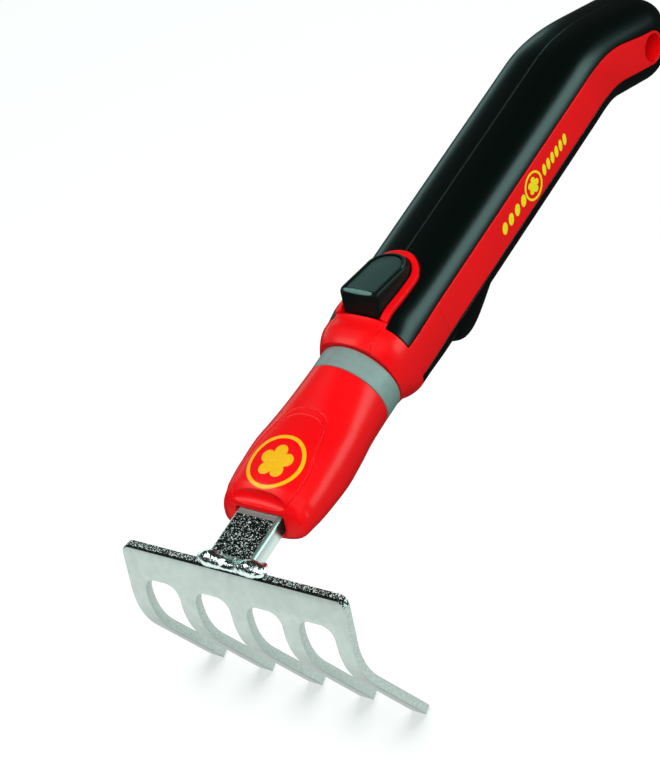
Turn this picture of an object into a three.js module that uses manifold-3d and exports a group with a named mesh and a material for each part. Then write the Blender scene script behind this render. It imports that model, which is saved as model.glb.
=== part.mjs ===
// Small garden hand rake whose five-tine head slides out of a two-colour handle.
// Working frame: X runs back along the handle, Z is up on the button side, and the
// handle's axis lies on the X axis. The blade's top front edge stands at X = 0.

import * as THREE from 'three';
import { mergeVertices } from 'three/addons/utils/BufferGeometryUtils.js';
import Module from 'manifold-3d';

const wasm = await Module();
wasm.setup();

// Fits
const GAP = 0.3;
const LOOSE = 0.5;
const OVERRUN = 4;

// Blade plate
const BLADE_WIDTH = 85;
const PLATE = 3.1;
const BLADE_RISE = 0.32;
const UPPER_LEAN = THREE.MathUtils.degToRad(18.7);
const LOWER_LEAN = THREE.MathUtils.degToRad(20.6);
const TOP_BEVEL = THREE.MathUtils.degToRad(9.6);
const UPPER_LENGTH = 15.7;
const BEND_RADIUS = 28.7;
const LOWER_LENGTH = 31.3;
const BEND_STEPS = 10;
const TINES = 5;
const TINE_ROOT = 6.4;
const TINE_TIP = 5.8;
const SLOT_DEPTH = 10.3;
const SLOT_CORNER = 4.5;
const TOP_CORNER = 3;

// Tang and weld
const TANG_WIDTH = 16.8;
const TANG_HEIGHT = 6.4;
const TANG_EDGE = 1.6;
const TANG_TOP = 4.2;
const TANG_EMBED = 27.3;
const WELD_WIDTH = 27;
const WELD_RADIUS = 2.7;
const TANG_PIN_RADIUS = 1.9;

// Head
const MOUTH_X = 18.2;
const HEAD_LENGTH = 52.8;
const HEAD_HALF_WIDTH = 17.2;
const HEAD_HALF_HEIGHT = 11;
const MOUTH_CLEARANCE = 2.4;
const MOUTH_DEPTH = 9;
const MOUTH_LEAN = 2.4;
const PANEL_HALF_WIDTH = 12.4;
const PANEL_DEPTH = 0.6;
const PANEL_LENGTH = 36.3;
const PANEL_ROUND = 9;

// Coupling
const BORE_RADIUS = 10;
const BARREL_WALL = 1.2;
const BARREL_RADIUS = BORE_RADIUS + BARREL_WALL;
const RING_FLANGE = 2.7;
const RING_RADIUS = BARREL_RADIUS + RING_FLANGE;
const RING_LENGTH = 7.7;
const SPIGOT_LENGTH = 47;
const SPIGOT_ROOT = 17;
const SPIGOT_SHOULDER = 1.5;
const SPIGOT_CHAMFER = 2;
const SPIGOT_END_GAP = 1.5;
const SLEEVE_END = 2.5;
const LATCH_WIDTH = 6;
const LATCH_SLOT_DEPTH = 5.4;
const LATCH_SLOT_FLOOR = BORE_RADIUS - LATCH_SLOT_DEPTH;
const LEAF = 0.8;
const LEAF_ANCHOR = 9;
const LEAF_RAMP = 9;
const CATCH_LENGTH = 5.6;
const RIVET_RADIUS = 1.1;
const RIVET_HEAD_RADIUS = 2.2;
const RIVET_HEAD = 1.1;
const RIVET_DEPTH = 4;

// Handle form
const NOSE_LENGTH = 27;
const STRAIGHT_LENGTH = 124;
const DROOP = THREE.MathUtils.degToRad(26);
const DROOP_RADIUS = 55;
const HOLE_FROM_DROOP = 16.6;
const HOLE_DROP = 0.4;
const END_FROM_HOLE = 17;
const END_ROUND = 17;
const SIDE_BODY = 4.6;
const TOP_BODY = 4.6;
const BOTTOM_BODY = 4;
const GRIP_HALF_WIDTH = BARREL_RADIUS + SIDE_BODY;
const GRIP_TOP = BARREL_RADIUS + TOP_BODY;
const GRIP_BOTTOM = BARREL_RADIUS + BOTTOM_BODY;
const DROOP_TAPER_SHARE = 0.915;
const SQUARENESS = 3;
const RING_POINTS = 24;
const GRIP_SKIN = 1.8;
const WALL = 1.9;
const STRIP_TOP = 6.7;
const STRIP_BOTTOM = 5.7;
const STRIP_FLAT = 0.3;
const GRIP_FRONT = 8.8;
const HOLE_RADIUS = 4.8;
const HOLE_RIM = 0.9;
const HOLE_WALL = 2.4;
const STRIP_REAR_TOP = HOLE_RADIUS + HOLE_RIM - HOLE_DROP;
const STRIP_REAR_BOTTOM = HOLE_RADIUS + HOLE_RIM + HOLE_DROP;
const STOP_FROM_NOSE = 31.2;
const STOP_LENGTH = 21.5;
const STOP_HEIGHT = 6.1;
const STOP_SKEW = 0.62;

// Button, its recess and the nose cover
const COVER_LENGTH = 10.5;
const COVER_SKIN = 2;
const COVER_HALF = 8.5;
const RECESS_HALF_WIDTH = 7.7;
const RECESS_LENGTH = 25.5;
const RECESS_SKIN = 1.1;
const RECESS_FLOOR = BARREL_RADIUS + GAP + RECESS_SKIN;
const BOW = 2.6;
const BOW_RISE = 0.8;
const BUTTON_SIDE_GAP = 0.5;
const BUTTON_FRONT_GAP = 2.9;
const BUTTON_FRONT_LEAN = 2.4;
const BUTTON_FRONT_RISE = 8;
const BUTTON_REAR_RISE = 2.6;
const BUTTON_FRONT_TOP = GRIP_TOP + BUTTON_FRONT_RISE;
const BUTTON_REAR_TOP = GRIP_TOP + BUTTON_REAR_RISE;
const BUTTON_FRONT_LIFT = 3;
const BUTTON_REAR_LIFT = 0.35;
const BUTTON_FRONT_BOTTOM = RECESS_FLOOR + BUTTON_FRONT_LIFT;
const BUTTON_REAR_BOTTOM = RECESS_FLOOR + BUTTON_REAR_LIFT;
const BUTTON_WALL = 1.8;
const BUTTON_ROOF = 2.2;
const BUTTON_CORNER = 1.8;
const PAD_MARGIN = 1.7;
const PAD_DEPTH = 1;
const PAD_PROUD = 0.25;
const PIVOT_FROM_REAR = 4.4;
const PIVOT_LIFT = 1.8;
const BUTTON_PIN_RADIUS = 0.8;
const BUTTON_PIN_SEAT = 1;
const HEEL_FROM_PIVOT = 2.4;
const STEM_LENGTH = 3.6;
const STEM_WIDTH = 5;
const SPRING_WIRE = 0.35;
const SPRING_RADIUS = 1.9;
const SPRING_TURNS = 4;
const SPRING_FROM_STEM = 6;

// Shell screws
const SCREW_RADIUS = 1.4;
const SCREW_HEAD_RADIUS = 2.7;
const SCREW_HEAD = 2;
const SCREW_BITE = 7;
const BOSS_RADIUS = 3.6;
const SCREW_ALONG_SHARES = [0.3, 0.56, 0.78];
const NOSE_SCREW_FROM_NOSE = 50;

const COLOURS = {
  plated: [0xb9c6c0, 0.35, 0.9],
  weld: [0xd4dcd8, 0.25, 0.9],
  red: [0xdc0b16, 0.3, 0],
  grey: [0x8b9e99, 0.45, 0],
  black: [0x14191a, 0.55, 0],
  button: [0x1b2222, 0.45, 0],
  steel: [0x9aa0a2, 0.35, 1],
  tongue: [0x2b2f30, 0.5, 0],
};

// Solids from geometries

function toSolid(geometry) {
  const bare = geometry.index ? geometry.toNonIndexed() : geometry.clone();
  bare.deleteAttribute('normal');
  bare.deleteAttribute('uv');
  const merged = mergeVertices(bare, 1e-4);
  const vertProperties = new Float32Array(merged.attributes.position.array);
  const triVerts = [];
  const index = merged.index.array;
  for (let i = 0; i < index.length; i += 3) {
    const [a, b, c] = [index[i], index[i + 1], index[i + 2]];
    if (a !== b && b !== c && c !== a) triVerts.push(a, b, c);
  }
  if (signedVolume(vertProperties, triVerts) < 0) triVerts.reverse();
  const mesh = new wasm.Mesh({ numProp: 3, vertProperties, triVerts: new Uint32Array(triVerts) });
  return new wasm.Manifold(mesh);
}

function signedVolume(points, triangles) {
  const corner = (i) => new THREE.Vector3(points[3 * i], points[3 * i + 1], points[3 * i + 2]);
  let sum = 0;
  for (let i = 0; i < triangles.length; i += 3) {
    const [a, b, c] = [corner(triangles[i]), corner(triangles[i + 1]), corner(triangles[i + 2])];
    sum += a.dot(b.cross(c));
  }
  return sum;
}

function toGeometry(solid) {
  const mesh = solid.getMesh();
  const geometry = new THREE.BufferGeometry();
  const positions = new Float32Array(mesh.vertProperties.length / mesh.numProp * 3);
  for (let i = 0; i < positions.length / 3; i++) {
    for (let k = 0; k < 3; k++) positions[3 * i + k] = mesh.vertProperties[mesh.numProp * i + k];
  }
  geometry.setAttribute('position', new THREE.BufferAttribute(positions, 3));
  geometry.setIndex(Array.from(mesh.triVerts));
  geometry.computeVertexNormals();
  return geometry;
}

function extruded(shape, length, curveSegments = 8) {
  return new THREE.ExtrudeGeometry(shape, { depth: length, bevelEnabled: false, curveSegments });
}

// A side outline in X and Z, extruded across from y0 to y1.
function alongY(shape, y0, y1, curveSegments) {
  return toSolid(extruded(shape, y1 - y0, curveSegments).rotateX(Math.PI / 2).translate(0, y1, 0));
}

// A front outline in Y and Z, extruded back from x0 to x1.
function alongX(shape, x0, x1, curveSegments) {
  const turn = new THREE.Matrix4().makeBasis(
    new THREE.Vector3(0, 1, 0), new THREE.Vector3(0, 0, 1), new THREE.Vector3(1, 0, 0));
  return toSolid(extruded(shape, x1 - x0, curveSegments).applyMatrix4(turn).translate(x0, 0, 0));
}

// A plan outline in X and Y, extruded up from z0 to z1.
function alongZ(shape, z0, z1, curveSegments) {
  return toSolid(extruded(shape, z1 - z0, curveSegments).translate(0, 0, z0));
}

function box(x0, x1, y0, y1, z0, z1) {
  const geometry = new THREE.BoxGeometry(x1 - x0, y1 - y0, z1 - z0);
  return toSolid(geometry.translate((x0 + x1) / 2, (y0 + y1) / 2, (z0 + z1) / 2));
}

// A turned piece round the X axis: points are [x, radius], from axis to axis or closed.
function turnedX(points, segments = 40) {
  const profile = points.map(([x, r]) => new THREE.Vector2(r, x));
  return toSolid(new THREE.LatheGeometry(profile, segments).rotateZ(-Math.PI / 2));
}

function rodX(radius, x0, x1, segments) {
  return turnedX([[x0, 0], [x0, radius], [x1, radius], [x1, 0]], segments);
}

function rodY(radius, x, z, y0, y1, segments = 24) {
  const geometry = new THREE.CylinderGeometry(radius, radius, y1 - y0, segments);
  return toSolid(geometry.translate(x, (y0 + y1) / 2, z));
}

function rodZ(radius, x, y, z0, z1, segments = 24) {
  const geometry = new THREE.CylinderGeometry(radius, radius, z1 - z0, segments);
  return toSolid(geometry.rotateX(Math.PI / 2).translate(x, y, (z0 + z1) / 2));
}

function roundedBox(width, height, radius, cx = 0, cy = 0) {
  const [l, r, b, t] = [cx - width / 2, cx + width / 2, cy - height / 2, cy + height / 2];
  const shape = new THREE.Shape();
  shape.moveTo(l + radius, b);
  shape.lineTo(r - radius, b);
  shape.absarc(r - radius, b + radius, radius, -Math.PI / 2, 0);
  shape.lineTo(r, t - radius);
  shape.absarc(r - radius, t - radius, radius, 0, Math.PI / 2);
  shape.lineTo(l + radius, t);
  shape.absarc(l + radius, t - radius, radius, Math.PI / 2, Math.PI);
  shape.lineTo(l, b + radius);
  shape.absarc(l + radius, b + radius, radius, Math.PI, 1.5 * Math.PI);
  return shape;
}

function polygon(points) {
  return new THREE.Shape(points.map(([x, y]) => new THREE.Vector2(x, y)));
}

// A closed skin over rings that hold the same number of points each.
function loft(rings) {
  const count = rings[0].length;
  const vertices = rings.flat();
  const triangles = [];
  for (let r = 0; r + 1 < rings.length; r++) {
    for (let i = 0; i < count; i++) {
      const [a, b] = [r * count + i, r * count + (i + 1) % count];
      triangles.push(a, b, a + count, b, b + count, a + count);
    }
  }
  for (const [ring, base, flip] of [[rings[0], 0, true], [rings.at(-1), vertices.length - count, false]]) {
    const middle = ring.reduce((sum, p) => sum.add(p), new THREE.Vector3()).divideScalar(count);
    vertices.push(middle);
    const hub = vertices.length - 1;
    for (let i = 0; i < count; i++) {
      const [a, b] = [base + i, base + (i + 1) % count];
      triangles.push(...(flip ? [b, a, hub] : [a, b, hub]));
    }
  }
  const geometry = new THREE.BufferGeometry().setFromPoints(vertices);
  geometry.setIndex(triangles);
  return toSolid(geometry);
}

// A ring in the plane square to the path, square-shouldered as its powers rise above 2.
function ovalRing(place, halfWidth, top, bottom, topPower, bottomPower = topPower) {
  const points = [];
  for (let i = 0; i < RING_POINTS; i++) {
    const angle = 2 * Math.PI * i / RING_POINTS;
    const [c, s] = [Math.cos(angle), Math.sin(angle)];
    const power = s > 0 ? topPower : bottomPower;
    const y = halfWidth * Math.sign(c) * Math.abs(c) ** (2 / power);
    const h = (s > 0 ? top : bottom) * Math.sign(s) * Math.abs(s) ** (2 / power);
    points.push(new THREE.Vector3(place.x + h * Math.sin(place.dip), y, place.z + h * Math.cos(place.dip)));
  }
  return points;
}

// Blade

function bladePath() {
  const down = (turn) => new THREE.Vector2(Math.sin(turn), -Math.cos(turn));
  const inward = new THREE.Vector2(Math.cos(UPPER_LEAN), -Math.sin(UPPER_LEAN));
  const start = new THREE.Vector2(0, BLADE_RISE);
  const bendStart = start.clone().add(down(-UPPER_LEAN).multiplyScalar(UPPER_LENGTH));
  const centre = bendStart.clone().add(inward.multiplyScalar(BEND_RADIUS));
  const steps = [[start, -UPPER_LEAN]];
  for (let i = 0; i <= BEND_STEPS; i++) {
    const turn = THREE.MathUtils.lerp(-UPPER_LEAN, LOWER_LEAN, i / BEND_STEPS);
    const out = new THREE.Vector2(-Math.cos(turn), -Math.sin(turn)).multiplyScalar(BEND_RADIUS);
    steps.push([centre.clone().add(out), turn]);
  }
  const tip = steps.at(-1)[0].clone().add(down(LOWER_LEAN).multiplyScalar(LOWER_LENGTH));
  steps.push([tip, LOWER_LEAN]);
  return steps;
}

const bladeSteps = bladePath();
const bladeFront = bladeSteps.map(([p]) => p);
const bladeBack = bladeSteps.map(([p, turn]) =>
  p.clone().add(new THREE.Vector2(Math.cos(turn), Math.sin(turn)).multiplyScalar(PLATE)));
const topRise = PLATE * Math.tan(TOP_BEVEL);
bladeBack[0].add(new THREE.Vector2(Math.sin(UPPER_LEAN), Math.cos(UPPER_LEAN)).multiplyScalar(topRise));
const bladeTopBack = bladeBack[0];
const bladeTip = bladeFront.at(-1);
const tinePitch = (BLADE_WIDTH - TINE_TIP) / (TINES - 1);

function bladePlate() {
  const side = new THREE.Shape([...bladeFront, ...[...bladeBack].reverse()]);
  const low = bladeTip.y - OVERRUN;
  const high = bladeTopBack.y;
  const front = new THREE.Shape();
  front.moveTo(-BLADE_WIDTH / 2, low);
  front.lineTo(BLADE_WIDTH / 2, low);
  front.absarc(BLADE_WIDTH / 2 - TOP_CORNER, high - TOP_CORNER, TOP_CORNER, 0, Math.PI / 2);
  front.absarc(TOP_CORNER - BLADE_WIDTH / 2, high - TOP_CORNER, TOP_CORNER, Math.PI / 2, Math.PI);
  const reach = BLADE_WIDTH / 2;
  const plate = alongY(side, -BLADE_WIDTH / 2, BLADE_WIDTH / 2);
  return plate.intersect(alongX(front, -reach, reach, 4));
}

function tineSlot(middle) {
  const root = (tinePitch - TINE_ROOT) / 2;
  const tip = (tinePitch - TINE_TIP) / 2;
  const top = BLADE_RISE - SLOT_DEPTH;
  const shape = new THREE.Shape();
  shape.moveTo(middle - tip, bladeTip.y - OVERRUN);
  shape.lineTo(middle + tip, bladeTip.y - OVERRUN);
  shape.absarc(middle + root - SLOT_CORNER, top - SLOT_CORNER, SLOT_CORNER, 0, Math.PI / 2);
  shape.absarc(middle - root + SLOT_CORNER, top - SLOT_CORNER, SLOT_CORNER, Math.PI / 2, Math.PI);
  return alongX(shape, -BLADE_WIDTH / 2, BLADE_WIDTH / 2, 6);
}

function rakeBlade() {
  let blade = bladePlate();
  for (let i = 0; i < TINES - 1; i++) {
    blade = blade.subtract(tineSlot((i - (TINES - 2) / 2) * tinePitch));
  }
  return blade;
}

// Tang and weld

const tangMiddle = TANG_TOP - TANG_HEIGHT / 2;
const tangFront = bladeTopBack.x + GAP;
const tangRear = MOUTH_X + TANG_EMBED;
const tangPinX = tangRear - MOUTH_DEPTH;

function tangBar(grow, x0, x1) {
  const [width, height] = [TANG_WIDTH + 2 * grow, TANG_HEIGHT + 2 * grow];
  return alongX(roundedBox(width, height, TANG_EDGE + grow, 0, tangMiddle), x0, x1, 6);
}

function tang() {
  const pinHole = rodZ(TANG_PIN_RADIUS + GAP, tangPinX, 0, -HEAD_HALF_HEIGHT, HEAD_HALF_HEIGHT);
  return tangBar(0, tangFront, tangRear).subtract(pinHole);
}

// Two large lobes and a lower middle, over the plate's top edge and round the tang's end.
const weldAcrossShares = [-0.53, -0.5, -0.44, -0.35, -0.25, -0.17, -0.08, 0, 0.08, 0.24, 0.4, 0.46, 0.49];
const weldSizeShares = [0.15, 0.55, 0.9, 1, 0.85, 0.6, 0.52, 0.6, 0.9, 1.08, 0.9, 0.55, 0.15];

function weldBead() {
  const rings = weldAcrossShares.map((share, i) => {
    const radius = WELD_RADIUS * weldSizeShares[i];
    const points = [];
    for (let k = 0; k < RING_POINTS / 2; k++) {
      const angle = 4 * Math.PI * k / RING_POINTS;
      const x = bladeTopBack.x / 2 + WELD_RADIUS / 3 + radius * Math.cos(angle);
      const z = bladeTopBack.y + WELD_RADIUS / 3 + radius * Math.sin(angle);
      points.push(new THREE.Vector3(x, share * WELD_WIDTH, z));
    }
    return points;
  });
  const plate = bladePlate();
  let bead = loft(rings).subtract(tangBar(GAP, tangFront - GAP, tangRear));
  for (const [dx, dz] of [[0, 0], [0, GAP], [GAP, 0], [GAP, GAP]]) {
    bead = bead.subtract(plate.translate([dx, 0, dz]));
  }
  return largest(bead);
}

function largest(solid) {
  return solid.decompose().reduce((a, b) => (b.volume() > a.volume() ? b : a));
}

// Head

const headRear = MOUTH_X + HEAD_LENGTH;
const ringFront = headRear + GAP;
const noseX = ringFront + RING_LENGTH + GAP;
const spigotRear = ringFront + SPIGOT_LENGTH;
const spigotRadius = BORE_RADIUS - GAP;

// Each row holds shares of the head's length, half width, half height up and down, and the powers.
const headShares = [
  [0, 0.8, 0.3, 0.38, 3, 2.6], [0.025, 0.86, 0.42, 0.45, 3, 2.6], [0.074, 0.925, 0.7, 0.54, 2.8, 2.5],
  [0.112, 0.945, 0.84, 0.62, 2.6, 2.4], [0.17, 0.973, 0.92, 0.69, 2.6, 2.4],
  [0.297, 1, 0.975, 0.8, 2.6, 2.4], [0.455, 1, 1.03, 0.97, 2.6, 2.3],
  [0.63, 0.95, 1, 1.02, 2.5, 2.25], [0.795, 0.88, 1.1, 1.1, 2.25, 2.1],
];

function headForm(inset) {
  const rings = headShares.map(([along, width, up, down, ...powers]) => ovalRing(
    { x: MOUTH_X + along * HEAD_LENGTH, z: 0, dip: 0 }, HEAD_HALF_WIDTH * width - inset,
    HEAD_HALF_HEIGHT * up - inset, HEAD_HALF_HEIGHT * down - inset, ...powers));
  const rear = RING_RADIUS - inset;
  rings.push(ovalRing({ x: headRear, z: 0, dip: 0 }, rear, rear, rear, 2));
  return loft(rings);
}

function headPanel() {
  const shape = new THREE.Shape();
  const end = MOUTH_X + PANEL_LENGTH;
  shape.moveTo(MOUTH_X - OVERRUN, -PANEL_HALF_WIDTH);
  shape.lineTo(end - PANEL_ROUND, -PANEL_HALF_WIDTH);
  shape.absellipse(end - PANEL_ROUND, 0, PANEL_ROUND, PANEL_HALF_WIDTH, -Math.PI / 2, Math.PI / 2);
  shape.lineTo(MOUTH_X - OVERRUN, PANEL_HALF_WIDTH);
  const reach = alongZ(shape, TANG_TOP, HEAD_HALF_HEIGHT + OVERRUN, 20);
  return reach.subtract(headForm(PANEL_DEPTH));
}

function headShell() {
  const lip = alongY(polygon([
    [MOUTH_X - OVERRUN, TANG_TOP - TANG_HEIGHT], [MOUTH_X, TANG_TOP - TANG_HEIGHT],
    [MOUTH_X + MOUTH_LEAN, TANG_TOP], [MOUTH_X + MOUTH_LEAN, HEAD_HALF_HEIGHT],
    [MOUTH_X - OVERRUN, HEAD_HALF_HEIGHT],
  ]), -HEAD_HALF_WIDTH, HEAD_HALF_WIDTH);
  const mouthTop = TANG_TOP + GAP;
  const mouthHeight = TANG_HEIGHT + 2 * GAP;
  const mouth = roundedBox(TANG_WIDTH + 2 * MOUTH_CLEARANCE, mouthHeight, TANG_EDGE, 0,
    mouthTop - mouthHeight / 2);
  const bore = rodX(spigotRadius - SPIGOT_SHOULDER + GAP, headRear - SPIGOT_ROOT - GAP, headRear + OVERRUN);
  const pin = rodZ(TANG_PIN_RADIUS + GAP, tangPinX, 0, -HEAD_HALF_HEIGHT - OVERRUN, TANG_TOP + 2 * GAP);
  return headForm(0)
    .subtract(headPanel())
    .subtract(lip)
    .subtract(alongX(mouth, MOUTH_X - OVERRUN, MOUTH_X + MOUTH_DEPTH, 4))
    .subtract(tangBar(GAP, MOUTH_X, tangRear + GAP))
    .subtract(bore)
    .subtract(pin);
}

function tangPin() {
  const low = -HEAD_HALF_HEIGHT * headShares[4][3] + GAP;
  return rodZ(TANG_PIN_RADIUS, tangPinX, 0, low, TANG_TOP + GAP);
}

// Tongue of the head, and the spring catch in its top slot

const catchFront = noseX + COVER_LENGTH + BUTTON_FRONT_GAP;
const catchRear = catchFront + CATCH_LENGTH;
const leafFront = catchFront - LEAF_RAMP - LEAF_ANCHOR;
const catchTop = BARREL_RADIUS - GAP;
const rivetX = leafFront + LEAF_ANCHOR / 2;

function headSpigot() {
  const root = spigotRadius - SPIGOT_SHOULDER;
  const body = turnedX([
    [headRear - SPIGOT_ROOT, 0], [headRear - SPIGOT_ROOT, root], [ringFront, root],
    [ringFront, spigotRadius], [spigotRear - SPIGOT_CHAMFER, spigotRadius],
    [spigotRear, spigotRadius - SPIGOT_CHAMFER], [spigotRear, 0],
  ]);
  const half = LATCH_WIDTH / 2 + LOOSE;
  const slot = box(leafFront - LOOSE, spigotRear + OVERRUN, -half, half, LATCH_SLOT_FLOOR, BARREL_RADIUS);
  const hole = rodZ(RIVET_RADIUS + GAP, rivetX, 0, LATCH_SLOT_FLOOR - RIVET_DEPTH - GAP, BARREL_RADIUS);
  return body.subtract(slot).subtract(hole);
}

function latchSpring() {
  const low = LATCH_SLOT_FLOOR + GAP;
  const high = BORE_RADIUS - LOOSE - LEAF;
  const anchorEnd = leafFront + LEAF_ANCHOR;
  const side = polygon([
    [leafFront, low], [anchorEnd, low], [catchFront, high], [catchRear, high],
    [catchRear, catchTop], [catchFront, catchTop], [catchFront, high + LEAF],
    [anchorEnd, low + LEAF], [leafFront, low + LEAF],
  ]);
  const hole = rodZ(RIVET_RADIUS + GAP, rivetX, 0, 0, BARREL_RADIUS);
  return alongY(side, -LATCH_WIDTH / 2, LATCH_WIDTH / 2).subtract(hole);
}

function latchRivet() {
  const seat = LATCH_SLOT_FLOOR + LEAF + 2 * GAP;
  const profile = [
    [LATCH_SLOT_FLOOR - RIVET_DEPTH, 0], [LATCH_SLOT_FLOOR - RIVET_DEPTH, RIVET_RADIUS],
    [seat, RIVET_RADIUS], [seat, RIVET_HEAD_RADIUS], [seat + RIVET_HEAD / 2, RIVET_HEAD_RADIUS],
    [seat + RIVET_HEAD, RIVET_RADIUS], [seat + RIVET_HEAD, 0],
  ].map(([z, r]) => new THREE.Vector2(r, z));
  return toSolid(new THREE.LatheGeometry(profile, 16).rotateX(Math.PI / 2).translate(rivetX, 0, 0));
}

// Socket

const sleeveRear = spigotRear + SPIGOT_END_GAP + SLEEVE_END;

function socketSleeve() {
  const flangeRear = ringFront + RING_LENGTH;
  const boreEnd = spigotRear + SPIGOT_END_GAP;
  const body = turnedX([
    [ringFront, BORE_RADIUS], [ringFront, RING_RADIUS], [flangeRear, RING_RADIUS],
    [flangeRear, BARREL_RADIUS], [sleeveRear, BARREL_RADIUS], [sleeveRear, 0],
    [boreEnd, 0], [boreEnd, BORE_RADIUS], [ringFront, BORE_RADIUS],
  ]);
  const half = LATCH_WIDTH / 2 + GAP;
  const window = box(catchFront - GAP, catchRear + GAP, -half, half, 0, BARREL_RADIUS + OVERRUN);
  return body.subtract(window);
}

// Handle form: a path that runs straight, then droops, with square-shouldered rings on it

const straightEnd = STRAIGHT_LENGTH;
const droopEnd = straightEnd + DROOP_RADIUS * DROOP;
const holeAlong = droopEnd + HOLE_FROM_DROOP;
const handleEnd = holeAlong + END_FROM_HOLE;

function handlePlace(along) {
  const bend = Math.min(Math.max(along - straightEnd, 0), droopEnd - straightEnd);
  const dip = bend / DROOP_RADIUS;
  const past = Math.max(along - droopEnd, 0);
  const x = noseX + Math.min(along, straightEnd) + DROOP_RADIUS * Math.sin(dip) + past * Math.cos(dip);
  const z = -DROOP_RADIUS * (1 - Math.cos(dip)) - past * Math.sin(dip);
  return { x, z, dip };
}

// A point this far above the handle's curved axis.
function pointOver(along, height) {
  const place = handlePlace(along);
  return { x: place.x + height * Math.sin(place.dip), z: place.z + height * Math.cos(place.dip) };
}

const holePlace = pointOver(holeAlong, -HOLE_DROP);

// Each row holds shares of the nose's length, then of the grip's half width, top and bottom, and the powers.
const noseShares = [
  [0, 0.89, 0.94, 0.925, 2.4, 2], [0.074, 0.943, 0.98, 0.915, 2.6, 2],
  [0.148, 0.987, 1.006, 0.94, 2.7, 2.3], [0.222, 1.006, 1.025, 0.974, 2.8, 2.5],
  [0.3, 1.019, 1.01, 0.98, 2.8, 2.7], [0.52, 1.025, 1.078, 0.96, 2.8, 2.8],
  [0.78, 1.013, 1.03, 0.99, 2.9, 2.9], [1, 1, 1, 1, 3, 3],
];
const roundShares = [0, 0.3, 0.55, 0.75, 0.9, 0.97, 1];
const END_POWER = 2.3;

function stopHeight(along) {
  const share = (along - STOP_FROM_NOSE) / STOP_LENGTH;
  return share > 0 && share < 1 ? STOP_HEIGHT * Math.sin(Math.PI * share ** STOP_SKEW) : 0;
}

// The handle narrows evenly through the droop.
function taper(along) {
  const share = THREE.MathUtils.smoothstep(along, straightEnd, droopEnd);
  return THREE.MathUtils.lerp(1, DROOP_TAPER_SHARE, share);
}

// The height of the strip's upper or lower edge: the strip narrows towards its round end.
function stripLevel(along, upper, shrink = 0) {
  const share = THREE.MathUtils.smoothstep(along, (straightEnd + droopEnd) / 2, holeAlong);
  const [front, rear] = upper ? [STRIP_TOP, STRIP_REAR_TOP] : [-STRIP_BOTTOM, -STRIP_REAR_BOTTOM];
  return THREE.MathUtils.lerp(front, rear, share) + shrink;
}

function handleForm(inset, withStop = false) {
  const rings = [];
  const add = (along, width, up, down, topPower, bottomPower, shrink = 1) => {
    const rise = withStop ? stopHeight(along) : 0;
    const size = taper(along);
    rings.push(ovalRing(handlePlace(along), (GRIP_HALF_WIDTH * size * width - inset) * shrink,
      (GRIP_TOP * size * up - inset) * shrink, ((GRIP_BOTTOM + rise) * size * down - inset) * shrink,
      topPower, bottomPower));
  };
  const plain = [1, 1, 1, SQUARENESS, SQUARENESS];
  for (const [along, ...shape] of noseShares) add(along * NOSE_LENGTH, ...shape);
  const stopSteps = withStop ? [0, 0.05, 0.12, 0.22, 0.35, 0.5, 0.65, 0.8, 0.9, 1] : [];
  for (const share of stopSteps) add(STOP_FROM_NOSE + share * STOP_LENGTH, ...plain);
  for (const share of [0, 0.2, 0.4, 0.6, 0.8, 1]) {
    add(straightEnd + share * (droopEnd - straightEnd), ...plain);
  }
  const roundStart = handleEnd - END_ROUND;
  for (const share of roundShares) {
    const shrink = Math.max((1 - share ** END_POWER) ** (1 / END_POWER), 0.35);
    add(roundStart + share * (END_ROUND - inset), ...plain, shrink);
  }
  return loft(rings);
}

// Side masks: all that lies between two heights over the path, each a function of the length along it.
const MASK_STEPS = 10;

function sideMask(from, near, far) {
  const stations = from < straightEnd ? [from] : [];
  const start = Math.max(from, straightEnd);
  for (let i = 0; i <= MASK_STEPS; i++) stations.push(start + i / MASK_STEPS * (Math.max(holeAlong, start) - start));
  stations.push(handleEnd + OVERRUN);
  const edge = (level) => [...new Set(stations)].map((along) => {
    const point = pointOver(along, level(along));
    return [point.x, point.z];
  });
  const shape = polygon([...edge(near), ...edge(far).reverse()]);
  return alongY(shape, -2 * GRIP_HALF_WIDTH, 2 * GRIP_HALF_WIDTH);
}

const recessFront = noseX + COVER_LENGTH;

// Plan outline of the recess, or of the bow or button, grown or shrunk about it.
function recessOutline(grow, front) {
  const half = RECESS_HALF_WIDTH + grow;
  const centre = recessFront + RECESS_LENGTH - RECESS_HALF_WIDTH;
  const shape = new THREE.Shape();
  shape.moveTo(front, -half);
  shape.lineTo(centre, -half);
  shape.absarc(centre, 0, half, -Math.PI / 2, Math.PI / 2);
  shape.lineTo(front, half);
  return shape;
}

// The upper mask wraps the handle's end; pockets overlap at the seam there, pieces stand apart.
function gripMask(upper, shrink) {
  const front = GRIP_FRONT + shrink;
  const reach = 2 * GRIP_TOP;
  if (!upper) return sideMask(front, (along) => stripLevel(along, false, -shrink), () => -reach);
  const bow = alongZ(recessOutline(BOW + shrink, noseX - OVERRUN), 0, reach, 20);
  const over = sideMask(front, (along) => stripLevel(along, true, shrink), () => reach).subtract(bow);
  const seam = 2 * shrink - GAP;
  const behind = sideMask(holeAlong, (along) => stripLevel(along, false, seam), () => reach);
  const round = rodY(HOLE_RADIUS + HOLE_RIM + shrink, holePlace.x, holePlace.z, -reach, reach, 32);
  return over.add(behind.subtract(round));
}

function halfSpace(side) {
  const reach = 3 * GRIP_HALF_WIDTH;
  const near = side * GAP / 2;
  const far = side * reach;
  return box(0, 2 * handlePlace(handleEnd).x, Math.min(near, far), Math.max(near, far), -2 * reach, reach);
}

function grip(upper, side) {
  const band = handleForm(0, !upper).subtract(handleForm(GRIP_SKIN));
  return largest(band.intersect(gripMask(upper, GAP)).intersect(halfSpace(side)));
}

// Chassis

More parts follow.
